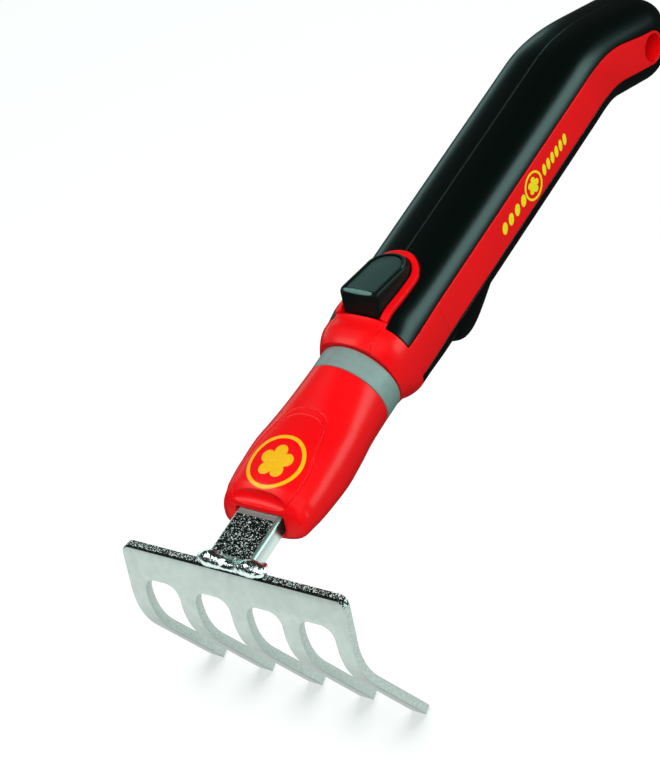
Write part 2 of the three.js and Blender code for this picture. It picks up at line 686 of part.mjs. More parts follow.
const screwAlongs = [NOSE_SCREW_FROM_NOSE,
  ...SCREW_ALONG_SHARES.map((share) => NOSE_SCREW_FROM_NOSE + share * (holeAlong - NOSE_SCREW_FROM_NOSE))];
const stripHalf = GRIP_HALF_WIDTH - STRIP_FLAT;
const rearStripHalf = GRIP_HALF_WIDTH * DROOP_TAPER_SHARE - STRIP_FLAT;
const seatDepth = rearStripHalf - SCREW_HEAD - GAP;

function coverBlock(grow) {
  const half = COVER_HALF + grow;
  const inside = handleForm(COVER_SKIN + grow);
  return box(noseX - OVERRUN, recessFront + grow, -half, half, BARREL_RADIUS, 2 * GRIP_TOP).subtract(inside);
}

function noseCover() {
  const front = noseX;
  const trim = box(front, recessFront, -GRIP_TOP, GRIP_TOP, 0, 2 * GRIP_TOP);
  return largest(coverBlock(0).intersect(handleForm(0)).intersect(trim));
}

function cavity() {
  const front = sleeveRear + GAP + WALL;
  const rear = handlePlace(holeAlong - HOLE_RADIUS - HOLE_WALL).x;
  const reach = 2 * GRIP_TOP;
  let hollow = handleForm(GRIP_SKIN + GAP + WALL).intersect(box(front, rear, -reach, reach, -reach, reach));
  for (const along of screwAlongs) {
    const place = handlePlace(along);
    hollow = hollow.subtract(rodY(BOSS_RADIUS, place.x, place.z, -reach, reach, 20));
  }
  return hollow;
}

// The side strips are planed flat behind the nose, and the bow stands proud of the grip.
function chassisForm() {
  const reach = 2 * GRIP_TOP;
  const nose = box(0, noseX + NOSE_LENGTH, -reach, reach, -reach, reach);
  const [start, end] = [handlePlace(straightEnd).x, handlePlace(droopEnd).x];
  const far = end + OVERRUN + DROOP_RADIUS;
  const flats = alongZ(polygon([
    [noseX, -stripHalf], [start, -stripHalf], [end, -rearStripHalf], [far, -rearStripHalf],
    [far, rearStripHalf], [end, rearStripHalf], [start, stripHalf], [noseX, stripHalf],
  ]), -2 * reach, reach);
  const lip = alongZ(recessOutline(BOW, recessFront), RECESS_FLOOR, reach, 20);
  return handleForm(0).intersect(nose.add(flats)).add(handleForm(-BOW_RISE).intersect(lip));
}

function chassis() {
  const deep = handleForm(GRIP_SKIN + GAP);
  const reach = 2 * GRIP_HALF_WIDTH;
  const recess = alongZ(recessOutline(0, recessFront), RECESS_FLOOR, 2 * GRIP_TOP, 20);
  const stemHalf = LATCH_WIDTH / 2 + GAP;
  const stemHole = box(catchFront - GAP, catchRear + GAP, -stemHalf, stemHalf, 0, RECESS_FLOOR + GAP);
  const pin = pivotPlace();
  return chassisForm()
    .subtract(gripMask(true, 0).subtract(deep))
    .subtract(gripMask(false, 0).subtract(deep))
    .subtract(coverBlock(GAP))
    .subtract(recess)
    .subtract(stemHole)
    .subtract(rodX(BARREL_RADIUS + GAP, noseX - OVERRUN, sleeveRear + GAP))
    .subtract(cavity())
    .subtract(rodY(HOLE_RADIUS, holePlace.x, holePlace.z, -reach, reach, 32))
    .subtract(rodY(BUTTON_PIN_RADIUS + GAP, pin.x, pin.z, -pinHalf - GAP, pinHalf + GAP));
}

function screwHole(along, grow) {
  const place = handlePlace(along);
  const shank = rodY(SCREW_RADIUS + grow, place.x, place.z, -SCREW_BITE - grow, seatDepth + grow, 12);
  const head = rodY(SCREW_HEAD_RADIUS + grow, place.x, place.z, seatDepth - grow, 2 * GRIP_HALF_WIDTH, 16);
  return shank.add(head);
}

function handleShell(side) {
  let shell = chassis().intersect(halfSpace(side));
  for (const along of screwAlongs) shell = shell.subtract(screwHole(along, GAP));
  return largest(shell);
}

function shellScrew(along) {
  const place = handlePlace(along);
  const shank = rodY(SCREW_RADIUS, place.x, place.z, -SCREW_BITE, seatDepth + SCREW_HEAD / 2, 12);
  return shank.add(rodY(SCREW_HEAD_RADIUS, place.x, place.z, seatDepth, seatDepth + SCREW_HEAD, 16));
}

// Button

const buttonFront = recessFront + BUTTON_FRONT_GAP;
const buttonFoot = buttonFront - BUTTON_FRONT_LEAN;
const buttonRear = recessFront + RECESS_LENGTH - BUTTON_SIDE_GAP;
const buttonHalf = RECESS_HALF_WIDTH - BUTTON_SIDE_GAP;
const pinHalf = buttonHalf + BUTTON_SIDE_GAP + BUTTON_PIN_SEAT;

function pivotPlace() {
  return { x: recessFront + RECESS_LENGTH - BUTTON_SIDE_GAP - PIVOT_FROM_REAR, z: RECESS_FLOOR + PIVOT_LIFT };
}

function buttonOutline(shrink, front = buttonFoot) {
  const half = buttonHalf - shrink;
  const corner = Math.max(BUTTON_CORNER - shrink, LOOSE);
  const centre = buttonRear - buttonHalf;
  const shape = new THREE.Shape();
  shape.moveTo(front + corner, -half);
  shape.lineTo(centre, -half);
  shape.absarc(centre, 0, half, -Math.PI / 2, Math.PI / 2);
  shape.lineTo(front + corner, half);
  shape.absarc(front + corner, half - corner, corner, Math.PI / 2, Math.PI);
  shape.absarc(front + corner, corner - half, corner, Math.PI, 1.5 * Math.PI);
  return shape;
}

// Side view of the button between its sloping underside and roof.
function buttonSide(bottom, below) {
  const slope = [[buttonFront, BUTTON_FRONT_TOP], [buttonRear, BUTTON_REAR_TOP]];
  const heel = pivotPlace().x - HEEL_FROM_PIVOT;
  const floor = [[buttonRear, BUTTON_REAR_BOTTOM], [heel, BUTTON_REAR_BOTTOM], [buttonFoot, BUTTON_FRONT_BOTTOM]];
  const lowered = slope.map(([x, z]) => [x, z - below]);
  const outline = bottom ? [...lowered, ...floor] : [...lowered, ...floor.map(([x]) => [x, 0])];
  return alongY(polygon(outline), -RECESS_HALF_WIDTH, RECESS_HALF_WIDTH);
}

function padBlock(shrink, lift, sink) {
  const slab = buttonSide(false, -lift).subtract(buttonSide(false, sink));
  const inset = PAD_MARGIN + shrink;
  return slab.intersect(alongZ(buttonOutline(inset, buttonFront + inset), 0, 2 * BUTTON_FRONT_TOP, 16));
}

function releaseButton() {
  const pin = pivotPlace();
  const body = buttonSide(true, 0).intersect(alongZ(buttonOutline(0), 0, 2 * BUTTON_FRONT_TOP, 16));
  const pocketPlan = alongZ(buttonOutline(BUTTON_WALL, buttonFront + BUTTON_WALL), 0, 2 * BUTTON_FRONT_TOP, 16);
  const pocketRear = box(0, pin.x - BUTTON_PIN_RADIUS - BUTTON_WALL, -buttonHalf, buttonHalf, 0, BUTTON_FRONT_TOP);
  const pocket = buttonSide(false, BUTTON_ROOF + PAD_DEPTH).intersect(pocketPlan).intersect(pocketRear);
  const stemX = (catchFront + catchRear) / 2;
  const roof = BUTTON_FRONT_TOP - BUTTON_ROOF;
  const stem = box(stemX - STEM_LENGTH / 2, stemX + STEM_LENGTH / 2, -STEM_WIDTH / 2, STEM_WIDTH / 2,
    catchTop + GAP, roof - PAD_DEPTH);
  return body.subtract(pocket).add(stem)
    .subtract(padBlock(-GAP, BUTTON_ROOF, PAD_DEPTH + GAP))
    .subtract(rodY(BUTTON_PIN_RADIUS + GAP, pin.x, pin.z, -RECESS_HALF_WIDTH, RECESS_HALF_WIDTH));
}

function buttonPin() {
  const pin = pivotPlace();
  return rodY(BUTTON_PIN_RADIUS, pin.x, pin.z, -pinHalf, pinHalf);
}

function buttonSpring() {
  const x = (catchFront + catchRear) / 2 + SPRING_FROM_STEM;
  const low = RECESS_FLOOR + GAP + SPRING_WIRE;
  const slopeShare = (x - buttonFront) / (buttonRear - buttonFront);
  const roof = THREE.MathUtils.lerp(BUTTON_FRONT_TOP, BUTTON_REAR_TOP, slopeShare);
  const high = roof - BUTTON_ROOF - PAD_DEPTH - GAP - 2 * SPRING_WIRE;
  class Helix extends THREE.Curve {
    getPoint(t, target = new THREE.Vector3()) {
      const turn = 2 * Math.PI * SPRING_TURNS * t;
      return target.set(x + SPRING_RADIUS * Math.cos(turn), SPRING_RADIUS * Math.sin(turn), low + (high - low) * t);
    }
  }
  const wire = new THREE.Shape().absarc(0, 0, SPRING_WIRE, 0, 2 * Math.PI);
  return toSolid(new THREE.ExtrudeGeometry(wire, {
    steps: 8 * SPRING_TURNS, extrudePath: new Helix(), curveSegments: 3, bevelEnabled: false,
  }));
}

// Assembly

const rake = new THREE.Group();

function addPiece(name, solid, [colour, roughness, metalness]) {
  const material = new THREE.MeshStandardMaterial({ color: colour, roughness, metalness });
  const mesh = new THREE.Mesh(toGeometry(solid), material);
  mesh.name = name;
  rake.add(mesh);
}

addPiece('rake_blade', rakeBlade(), COLOURS.plated);
addPiece('tang', tang(), COLOURS.plated);
addPiece('weld_bead', weldBead(), COLOURS.weld);
addPiece('head_shell', headShell(), COLOURS.red);
addPiece('tang_pin', tangPin(), COLOURS.steel);
addPiece('head_spigot', headSpigot(), COLOURS.tongue);
addPiece('latch_spring', latchSpring(), COLOURS.steel);
addPiece('latch_rivet', latchRivet(), COLOURS.steel);
addPiece('socket_sleeve', socketSleeve(), COLOURS.grey);
addPiece('handle_shell_left', handleShell(-1), COLOURS.red);
addPiece('handle_shell_right', handleShell(1), COLOURS.red);
addPiece('nose_cover', noseCover(), COLOURS.red);
addPiece('grip_upper_left', grip(true, -1), COLOURS.black);
addPiece('grip_upper_right', grip(true, 1), COLOURS.black);
addPiece('grip_lower_left', grip(false, -1), COLOURS.black);
addPiece('grip_lower_right', grip(false, 1), COLOURS.black);
addPiece('release_button', releaseButton(), COLOURS.button);
addPiece('button_pad', padBlock(0, PAD_PROUD, PAD_DEPTH), COLOURS.button);
addPiece('button_pin', buttonPin(), COLOURS.steel);
addPiece('button_spring', buttonSpring(), COLOURS.steel);
screwAlongs.forEach((along, i) => addPiece(`shell_screw_${i + 1}`, shellScrew(along), COLOURS.steel));

// The part stands with the middle of its box over the origin and its tine tips on Z = 0.
const bounds = new THREE.Box3().setFromObject(rake);
rake.position.set(-(bounds.min.x + bounds.max.x) / 2, 0, -bounds.min.z);

const part = new THREE.Group();
part.add(rake);
export default part;
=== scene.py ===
"""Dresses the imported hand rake: fine pieces over its solids, finishes, studio and camera.

Sizes are in millimetres in the working frame of the tool: X runs back along the handle from
the blade's top front edge, Z is up on the button side, and the handle's axis is the X axis.
"""

import math
from contextlib import contextmanager

import bmesh
import bpy
import numpy as np
from bpy.props import FloatProperty, FloatVectorProperty, IntProperty, PointerProperty
from mathutils import Matrix, Vector


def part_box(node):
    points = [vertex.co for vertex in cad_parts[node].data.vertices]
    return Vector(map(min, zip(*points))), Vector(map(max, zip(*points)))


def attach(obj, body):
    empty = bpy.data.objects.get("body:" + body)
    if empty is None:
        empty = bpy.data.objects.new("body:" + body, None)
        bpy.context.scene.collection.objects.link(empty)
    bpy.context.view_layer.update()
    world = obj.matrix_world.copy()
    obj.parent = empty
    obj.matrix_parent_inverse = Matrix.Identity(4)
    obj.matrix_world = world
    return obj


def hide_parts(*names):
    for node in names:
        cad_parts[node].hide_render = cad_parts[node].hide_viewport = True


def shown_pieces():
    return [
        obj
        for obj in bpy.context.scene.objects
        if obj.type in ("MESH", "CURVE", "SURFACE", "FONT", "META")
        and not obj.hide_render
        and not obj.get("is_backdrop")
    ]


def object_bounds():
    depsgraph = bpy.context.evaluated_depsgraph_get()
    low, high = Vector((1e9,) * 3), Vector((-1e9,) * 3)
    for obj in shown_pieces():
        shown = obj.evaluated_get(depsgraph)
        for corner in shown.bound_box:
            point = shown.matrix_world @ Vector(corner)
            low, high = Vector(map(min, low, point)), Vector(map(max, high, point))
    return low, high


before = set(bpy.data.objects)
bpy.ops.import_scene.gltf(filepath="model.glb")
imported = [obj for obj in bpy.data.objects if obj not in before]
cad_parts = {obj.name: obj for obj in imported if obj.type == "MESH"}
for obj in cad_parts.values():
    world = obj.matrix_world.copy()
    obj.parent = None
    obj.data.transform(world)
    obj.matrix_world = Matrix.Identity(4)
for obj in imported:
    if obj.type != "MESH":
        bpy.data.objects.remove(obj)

bl_info = {
    "name": "Hand rake dresser",
    "version": (1, 0, 0),
    "blender": (4, 5, 0),
    "location": "3D View > Sidebar > Hand rake",
    "description": "Fine pieces, finishes and a studio for the packed hand rake",
    "category": "Object",
}

CAD_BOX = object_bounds()
METRE = 1000

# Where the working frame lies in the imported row, in millimetres
RING_FRONT = 71.3
SLEEVE_LOW, SLEEVE_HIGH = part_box("socket_sleeve")
OFFSET = np.array([SLEEVE_LOW[0] * METRE - RING_FRONT, 0, (SLEEVE_LOW[2] + SLEEVE_HIGH[2]) * METRE / 2])
HOME = Vector(OFFSET)

GAP = 0.3
# How far a cutter reaches past what it cuts
PAST = 4

# Blade
BLADE_WIDTH = 85
BLADE_RISE = 0.32
BLADE_CORNER = 3
BLADE_FRONT = 0.005
UPPER_LEAN = math.radians(18.7)
LOWER_LEAN = math.radians(20.6)
TOP_BEVEL = math.radians(9.6)
BEVEL_FADE = 4
UPPER_LENGTH = 15.7
BEND_RADIUS = 28.7
BEND_LENGTH = BEND_RADIUS * (UPPER_LEAN + LOWER_LEAN)
LOWER_LENGTH = 31.3
BLADE_LENGTH = UPPER_LENGTH + BEND_LENGTH + LOWER_LENGTH
UPPER_CUTS = (2, 5, 9, 12.5)
TINES = 5
TINE_ROOT = 6.4
TINE_TIP = 5.8
TINE_NIP = 1.1
SLOT_TOP = -9.98
SLOT_CORNER = 4.5
DARK_RIM_HALF = 41

# What the steel's cut_face attribute says of a face; a plate's cut walls have up to 0.5
TOP_CUT = 0.75
ROUGH_FACE = 1.0
# The tang's near side, which gets a painted reflection and a painted shadow at the mouth
PAINTED_SHEEN_FACE = -1.0

# Tang and weld
TANG_HEIGHT = 6.4
TANG_EDGE = 1.6
TANG_TOP = 4.2
TANG_EMBED = 27.3
TANG_PIN_RADIUS = 1.9
WELD_VOXEL = 0.22
# Centre of each lobe, then its half width, depth and height as shares of the bead's radius
WELD_LOBES = [
    ((2.2, 9.4, 2.1), 1.1, 0.9, 0.8), ((2.0, 7.2, 2.5), 1.5, 1.05, 1.0), ((1.9, 4.6, 2.3), 1.5, 0.95, 0.9),
    ((2.0, 1.6, 1.7), 1.3, 0.85, 0.62), ((1.9, -0.8, 1.4), 1.3, 0.75, 0.6),
    ((1.9, -3.0, 1.5), 1.3, 0.75, 0.65), ((2.0, -5.8, 2.1), 1.4, 0.95, 0.85),
    ((2.1, -8.2, 2.4), 1.7, 1.08, 1.02), ((2.2, -10.8, 2.1), 1.2, 0.9, 0.8),
    ((3.4, -11.4, 1.8), 0.7, 0.8, 0.6),
]

# Head
MOUTH_X = 18.2
MOUTH_CLEARANCE = 0.9
MOUTH_DEPTH = 9
MOUTH_LEAN = 2.4
LEAN_FADE = 0.16
HEAD_LENGTH = 52.8
HEAD_HALF_WIDTH = 17.2
HEAD_HALF_HEIGHT = 11
HEAD_REAR = MOUTH_X + HEAD_LENGTH
# Share of the length, then width, top and bottom as shares, and the roundness of top and bottom
HEAD_ROWS = [
    (0, 0.6, 0.43, 0.3, 3, 2.6), (0.006, 0.72, 0.475, 0.36, 3, 2.6), (0.014, 0.8, 0.52, 0.42, 3, 2.6),
    (0.028, 0.875, 0.58, 0.47, 2.9, 2.55), (0.05, 0.915, 0.66, 0.52, 2.8, 2.5),
    (0.078, 0.935, 0.76, 0.56, 2.7, 2.45), (0.112, 0.945, 0.84, 0.62, 2.6, 2.4),
    (0.17, 0.973, 0.92, 0.69, 2.6, 2.4), (0.297, 1, 0.975, 0.8, 2.6, 2.4), (0.455, 1, 1.03, 0.97, 2.6, 2.3),
    (0.63, 0.95, 1, 1.02, 2.5, 2.25), (0.795, 0.88, 1.1, 1.1, 2.25, 2.1),
]
# Lines on the head's top: points back along the right half, from the front
OUTER_GROOVE = [(21.5, 9.4), (23.5, 10.7), (26.5, 11.7), (33.4, 12.1), (38.9, 11.6), (44.2, 10.4),
                (50.5, 8.7), (53.1, 7.5), (54.9, 5.3), (55.8, 2.4), (56, 0)]
INNER_GROOVE = [(35.5, 11.6), (39.1, 11.0), (44.5, 9.7), (48.7, 8.2), (51.4, 6.6), (52.9, 4.3), (53.4, 2),
                (53.5, 0)]
LIP_HOLLOW = [(20.9, 10.8), (21.2, 8.4), (21.4, 5), (21.5, 2), (21.5, 0)]
HOLLOW_RADIUS = 3.35
HOLLOW_LIFT = 3.05
HOLLOW_FADE = (3, 10.8)
HOLLOW_THINNING = 1.5

# Emblem, strip marks and seam
EMBLEM_X = 35.1
EMBLEM_BAND = 1.25
EMBLEM_LIFT = 0.16
EMBLEM_DEPTH = 0.25
EMBLEM_EDGE = 0.06
PETAL_CORE = 0.36
PETAL_BULGE = 0.25
PETAL_ROUNDNESS = 0.7
MARK_X = 164.6
MARK_LEVEL = 0.2
MARK_BAND = 0.75
MARK_LIFT = 0.1
MARK_DEPTH = 0.2
# Leaves of each row: first place, pitch, count, half length
LEAF_ROWS = {"front": (145.6, 4.1, 4, 1.45), "rear": (171.8, 2.75, 6, 1.0)}
LEAF_HALF_HEIGHT = 1.9
LEAF_SLANT = 0.5
SEAM_DOT = [(-0.16, 0), (-0.11, 0.11), (0, 0.16), (0.11, 0.11), (0.16, 0)]
SEAM_SINK = 0.12
SEAM_START = 1.5

# Coupling
BORE = 10
BARREL = 11.2
RING = 13.9
RING_REAR = 79
RING_EDGE = 0.35
SPIGOT_REAR = RING_FRONT + 47
SPIGOT_ROOT = 17
SPIGOT_WALL = 1.5
SLEEVE_REAR = SPIGOT_REAR + 4
SLEEVE_END = 2.5
SLEEVE_HOLE = 3
LATCH_WIDTH = 6

# Handle
NOSE_X = 79.3
NOSE_LENGTH = 27
STRAIGHT = 124
DROOP = math.radians(26)
DROOP_RADIUS = 55
DROOP_END = STRAIGHT + DROOP_RADIUS * DROOP
DROOP_TAPER = 0.915
HOLE_ALONG = DROOP_END + 16.6
HOLE_DROP = 0.4
HOLE_RADIUS = 4.8
HOLE_RIM = 0.9
HOLE_WALL = 2.4
HANDLE_END = HOLE_ALONG + 16.994
END_ROUND = 17
END_POWER = 2.3
END_TIP = 0.1
END_STEPS = 20
GRIP_HALF_WIDTH = 15.8
GRIP_TOP = 15.8
GRIP_BOTTOM = 15.2
GRIP_SKIN = 1.8
GRIP_FRONT = 8.8
WALL = 1.9
STRIP_TOP = 6.7
STRIP_BOTTOM = 5.7
STRIP_REAR_TOP = HOLE_RADIUS + HOLE_RIM - HOLE_DROP
STRIP_REAR_BOTTOM = HOLE_RADIUS + HOLE_RIM + HOLE_DROP
STRIP_HALF = 15.5
REAR_STRIP_HALF = GRIP_HALF_WIDTH * DROOP_TAPER - 0.3
STOP_FROM_NOSE = 31.2
STOP_LENGTH = 21.5
STOP_HEIGHT = 6.1
STOP_SKEW = 0.62
NOSE_ROWS = [
    (0, 0.89, 0.94, 0.925, 2.4, 2), (0.074, 0.943, 0.98, 0.915, 2.6, 2),
    (0.148, 0.987, 1.006, 0.94, 2.7, 2.3), (0.222, 1.006, 1.025, 0.974, 2.8, 2.5),
    (0.3, 1.019, 1.01, 0.98, 2.8, 2.7), (0.52, 1.025, 1.078, 0.96, 2.8, 2.8),
    (0.78, 1.013, 1.03, 0.99, 2.9, 2.9), (1, 1, 1, 1, 3, 3),
]
REACH = 2 * GRIP_TOP
BEYOND = 40
# A room that holds the whole tool
ROOM_LENGTH = (-20, 400)
ROOM_HALF_WIDTH = 60
ROOM_HEIGHT = (-80, 60)
SIDES = {"left": -1, "right": 1}

# Button, recess and nose cover
RECESS_FRONT = NOSE_X + 10.5
RECESS_HALF = 7.7
RECESS_REAR = RECESS_FRONT + 25.5
RECESS_FLOOR = 12.6
BOW = 2.0
BOW_RISE = 0.8
COVER_HALF = 8.5
COVER_SKIN = 2
CATCH_FRONT = RECESS_FRONT + 2.9
CATCH_REAR = CATCH_FRONT + 5.6
BUTTON_FRONT = RECESS_FRONT + 2.9
BUTTON_FOOT = BUTTON_FRONT - 2.4
BUTTON_REAR = RECESS_REAR - 0.5
BUTTON_HALF = RECESS_HALF - 0.5
BUTTON_FRONT_TOP = GRIP_TOP + 8
BUTTON_REAR_TOP = GRIP_TOP + 2.6
BUTTON_FRONT_BOTTOM = RECESS_FLOOR + 3
BUTTON_REAR_BOTTOM = RECESS_FLOOR + 0.35
BUTTON_CORNER = 1.8
BUTTON_EDGE = 0.3
# How far the shoulder draws in at the sides, how deep it is and how far it draws back in front
BUTTON_SHOULDER = (1.1, 1.5, 1.7)
BUTTON_WALL = 1.8
BUTTON_ROOF = 3.2
STEM_HALF = 1.8
STEM_HALF_WIDTH = 2.5
SEAT_INSET = 1.4
PAD_SEAT = 1.3
PAD_INSET = 1.75
PAD_FRONT = 2.2
PAD_TOP = 0.3
PAD_BEVEL = 0.3
PIN_RADIUS = 0.8
PIN_SEAT = 1.3
PIVOT = (RECESS_REAR - 0.5 - 4.4, RECESS_FLOOR + 1.8)
HEEL = PIVOT[0] - 2.4
POCKET_REAR = PIVOT[0] - 2.6
LIP_BEHIND = 0.85
LIP_HALF = 5.3
LIP_RADIUS = 0.95
LIP_SINK = 0.8
RIM_INSET = 0.8
RIM_FROM = 1.6
RIM_RADIUS = 0.32
RIM_SINK = 0.3

# Shell screws
SCREW_ALONGS = [50 + share * (HOLE_ALONG - 50) for share in (0, 0.3, 0.56, 0.78)]
SCREW_RADIUS = 1.4
SCREW_HEAD = 2.7
SCREW_TIP = -7
SCREW_BOSS = 3.6
# Half length and half width of each arm of the cross slot, and the level of its floor
CROSS_HALVES = (1.5, 0.32)
CROSS_FLOOR = 0.9
SEAT_DEPTH = REAR_STRIP_HALF - 2 - GAP

# Studio
MIDDLE = Vector((0, 0, 0.05))
FOOT = Vector((CAD_BOX[0][0], 0, 0))
SKY = (0.93, 0.97, 0.96, 1)
FLOOR_REACH = 6.0
FLOOR_COLOUR = (0.86, 0.88, 0.87)
FLOOR_TINT = (0.95, 1, 0.985)
COOL = (0.6, 1.0, 0.93)
WHITE = (1, 1, 1)
# Name, its power's setting, aim, way to it, distance, size, colour, what it lights, what shades it
LAMPS = [
    ("side_softbox", "side", MIDDLE, (0.46, -0.87, 0.1), 0.95, (0.9, 0.52), COOL, "dressed", None),
    ("back_softbox", "back", MIDDLE, (0.46, 0.89, 0.08), 0.95, (0.9, 0.3), COOL, "dressed", None),
    ("top_softbox", "top", MIDDLE, (-0.22, 0.56, 0.8), 1.0, (0.45, 0.45), WHITE, "dressed", None),
    ("fill_softbox", "fill", MIDDLE, (-0.3, -0.45, 0.84), 1.1, (1, 1), WHITE, "dressed", None),
    ("spark_softbox", "spark", FOOT, (-0.3, -0.55, 0.8), 0.6, (1.1, 0.8), WHITE, "weld", None),
    ("mirror_card", "card", FOOT, (0, 0, -1), 0.002, (1.6, 1.6), FLOOR_TINT, "steel", "steel"),
    ("floor_softbox", "under", FOOT, (0, 0, 1), 1.2, (0.5, 0.5), WHITE, "ground", "blade"),
]
# The light groups of the steel pieces, besides the one that holds all pieces
FAMILIES = {"rake_blade_plate": ("blade", "steel"), "tang_bar": ("steel",), "weld_lobes": ("weld", "steel")}
CAMERA_PLACE = Vector((-372.4, -565.4, 645.5))
CAMERA_AXES = Matrix(((0.4985, 0.7354, -0.459), (-0.7896, 0.1666, -0.5905), (-0.3578, 0.6568, 0.6637)))
CAMERA_LENS = 148.19
CAMERA_SENSOR = 36


# Numbers

def spread(low, high, count):
    """Values from low to high in as many even steps."""
    return [low + (high - low) * i / count for i in range(count + 1)]


def turns(count):
    """Angles of as many even steps round a full turn."""
    return [2 * math.pi * i / count for i in range(count)]


def share_between(value, low, high):
    """How far a value has come from low to high, from 0 to 1."""
    return min(max((value - low) / (high - low), 0), 1)


def eased(share):
    return (3 - 2 * share) * share**2


def flow(rows, at):
    """The rows' values at a station, on a smooth curve through them that never overshoots."""
    table = np.array(rows, dtype=float)
    x, y = table[:, 0], table[:, 1:]
    slope = np.diff(y, axis=0) / np.diff(x)[:, None]
    tangent = np.zeros_like(y)
    inner = slope[:-1] * slope[1:] > 0
    harmonic = 2 * slope[:-1] * slope[1:] / np.where(inner, slope[:-1] + slope[1:], 1)
    tangent[1:-1] = np.where(inner, harmonic, 0)
    tangent[0], tangent[-1] = slope[0], slope[-1]
    k = min(max(int(np.searchsorted(x, at)) - 1, 0), len(x) - 2)
    h = x[k + 1] - x[k]
    t = (at - x[k]) / h
    return ((2 * t**3 - 3 * t**2 + 1) * y[k] + (t**3 - 2 * t**2 + t) * h * tangent[k]
            + (3 * t**2 - 2 * t**3) * y[k + 1] + (t**3 - t**2) * h * tangent[k + 1])


# Outlines

def circle(cx, cy, radius, count=48):
    return [(cx + radius * math.cos(t), cy + radius * math.sin(t)) for t in turns(count)]


def arc(cx, cy, radius, start, end, count):
    """Points on an arc from one angle to another, in degrees."""
    return [(cx + radius * math.cos(t), cy + radius * math.sin(t))
            for t in map(math.radians, spread(start, end, count))]


def rosette(cx, cy, radius, petals, count):
    """The outline of a flower within a radius."""
    points = []
    for t in turns(count):
        far = radius * (PETAL_CORE + PETAL_BULGE * abs(math.cos(petals * t / 2)) ** PETAL_ROUNDNESS)
        points.append((cx + far * math.cos(t), cy + far * math.sin(t)))
    return points


def rounded_box(width, height, radius, level, count=8):
    w, h = width / 2 - radius, height / 2 - radius
    points = []
    for sx, sy, start in ((1, -1, -90), (1, 1, 0), (-1, 1, 90), (-1, -1, 180)):
        points += arc(sx * w, level + sy * h, radius, start, start + 90, count)
    return points


def mirrored(rows, steps=40):
    """A smooth line through half a figure's points and back along its other half."""
    table = [(i / (len(rows) - 1), x, y) for i, (x, y) in enumerate(rows)]
    half = [tuple(flow(table, share)) for share in spread(0, 1, steps)]
    return [(x, -y) for x, y in half] + half[-2::-1]


# Meshes

def add_object(name, data):
    thing = bpy.data.objects.new(name, data)
    bpy.context.scene.collection.objects.link(thing)
    return thing


def make_object(name, points, faces):
    """A piece from points in millimetres in the working frame."""
    mesh = bpy.data.meshes.new(name)
    mesh.from_pydata(((np.asarray(points, dtype=float) + OFFSET) / METRE).tolist(), [], faces)
    mesh.validate()
    return add_object(name, mesh)


@contextmanager
def editing(piece):
    """Opens a piece's mesh for edits, and writes them back."""
    form = bmesh.new()
    form.from_mesh(piece.data)
    yield form
    form.to_mesh(piece.data)
    form.free()


def face_out(piece, slivers=False):
    """Joins doubled points, dissolves slivers where asked, and turns the faces outwards."""
    with editing(piece) as form:
        bmesh.ops.remove_doubles(form, verts=form.verts, dist=1e-7)
        if slivers:
            bmesh.ops.dissolve_degenerate(form, dist=1e-8, edges=form.edges)
        bmesh.ops.recalc_face_normals(form, faces=form.faces)
    return piece


def skin(rows, count, wrap=False):
    """Faces between neighbouring rows of count points each."""
    faces = []
    for row in range(rows if wrap else rows - 1):
        low, high = row * count, (row + 1) % rows * count
        for i in range(count):
            j = (i + 1) % count
            faces.append((low + i, low + j, high + j, high + i))
    return faces


def loft(name, rings):
    """A closed skin over rings of as many points each, with a fan at each end."""
    count = len(rings[0])
    points = [point for ring in rings for point in ring]
    faces = skin(len(rings), count)
    for ring, base in ((rings[0], 0), (rings[-1], len(points) - count)):
        points.append(np.mean(ring, axis=0))
        hub = len(points) - 1
        faces += [(base + i, base + (i + 1) % count, hub) for i in range(count)]
    return face_out(make_object(name, points, faces))


def turned(name, profile, count=96):
    """A piece turned round the X axis from (x, radius) points; a radius of 0 closes it."""
    points = [(x, radius * math.cos(t), radius * math.sin(t)) for x, radius in profile for t in turns(count)]
    faces = skin(len(profile), count, wrap=profile[0][1] > 0)
    return face_out(make_object(name, points, faces), slivers=True)


def tube(name, path, radii, count=10):
    """A closed tube along a list of points, with one radius for all or one for each."""
    path = [Vector(point) for point in path]
    radii = radii if isinstance(radii, list) else [radii] * len(path)
    rings = []
    for i, (point, radius) in enumerate(zip(path, radii)):
        way = (path[min(i + 1, len(path) - 1)] - path[max(i - 1, 0)]).normalized()
        across = way.cross(Vector((0, 0, 1))).normalized()
        up = across.cross(way).normalized()
        rings.append([point + radius * (across * math.cos(t) + up * math.sin(t)) for t in turns(count)])
    return loft(name, rings)


def prism(name, outline, low, high, place):
    """An outline of (u, v) points drawn out from low to high, set down by place(u, v, w)."""
    count = len(outline)
    points = [place(u, v, w) for w in (low, high) for u, v in outline]
    faces = [tuple(range(count)), tuple(range(count, 2 * count)), *skin(2, count)]
    return face_out(make_object(name, points, faces))


def along_x(outline, low, high):
    return prism("cutter", outline, low, high, lambda u, v, w: (w, u, v))


def along_y(outline, low, high):
    return prism("cutter", outline, low, high, lambda u, v, w: (u, w, v))


def along_z(outline, low, high):
    return prism("cutter", outline, low, high, lambda u, v, w: (u, v, w))


def block(x0, x1, y0, y1, z0, z1):
    return along_z([(x0, y0), (x1, y0), (x1, y1), (x0, y1)], z0, z1)


def rod_x(radius, x0, x1):
    return along_x(circle(0, 0, radius, 96), x0, x1)


def rod_y(radius, x, z, y0, y1, count=48):
    return along_y(circle(x, z, radius, count), y0, y1)


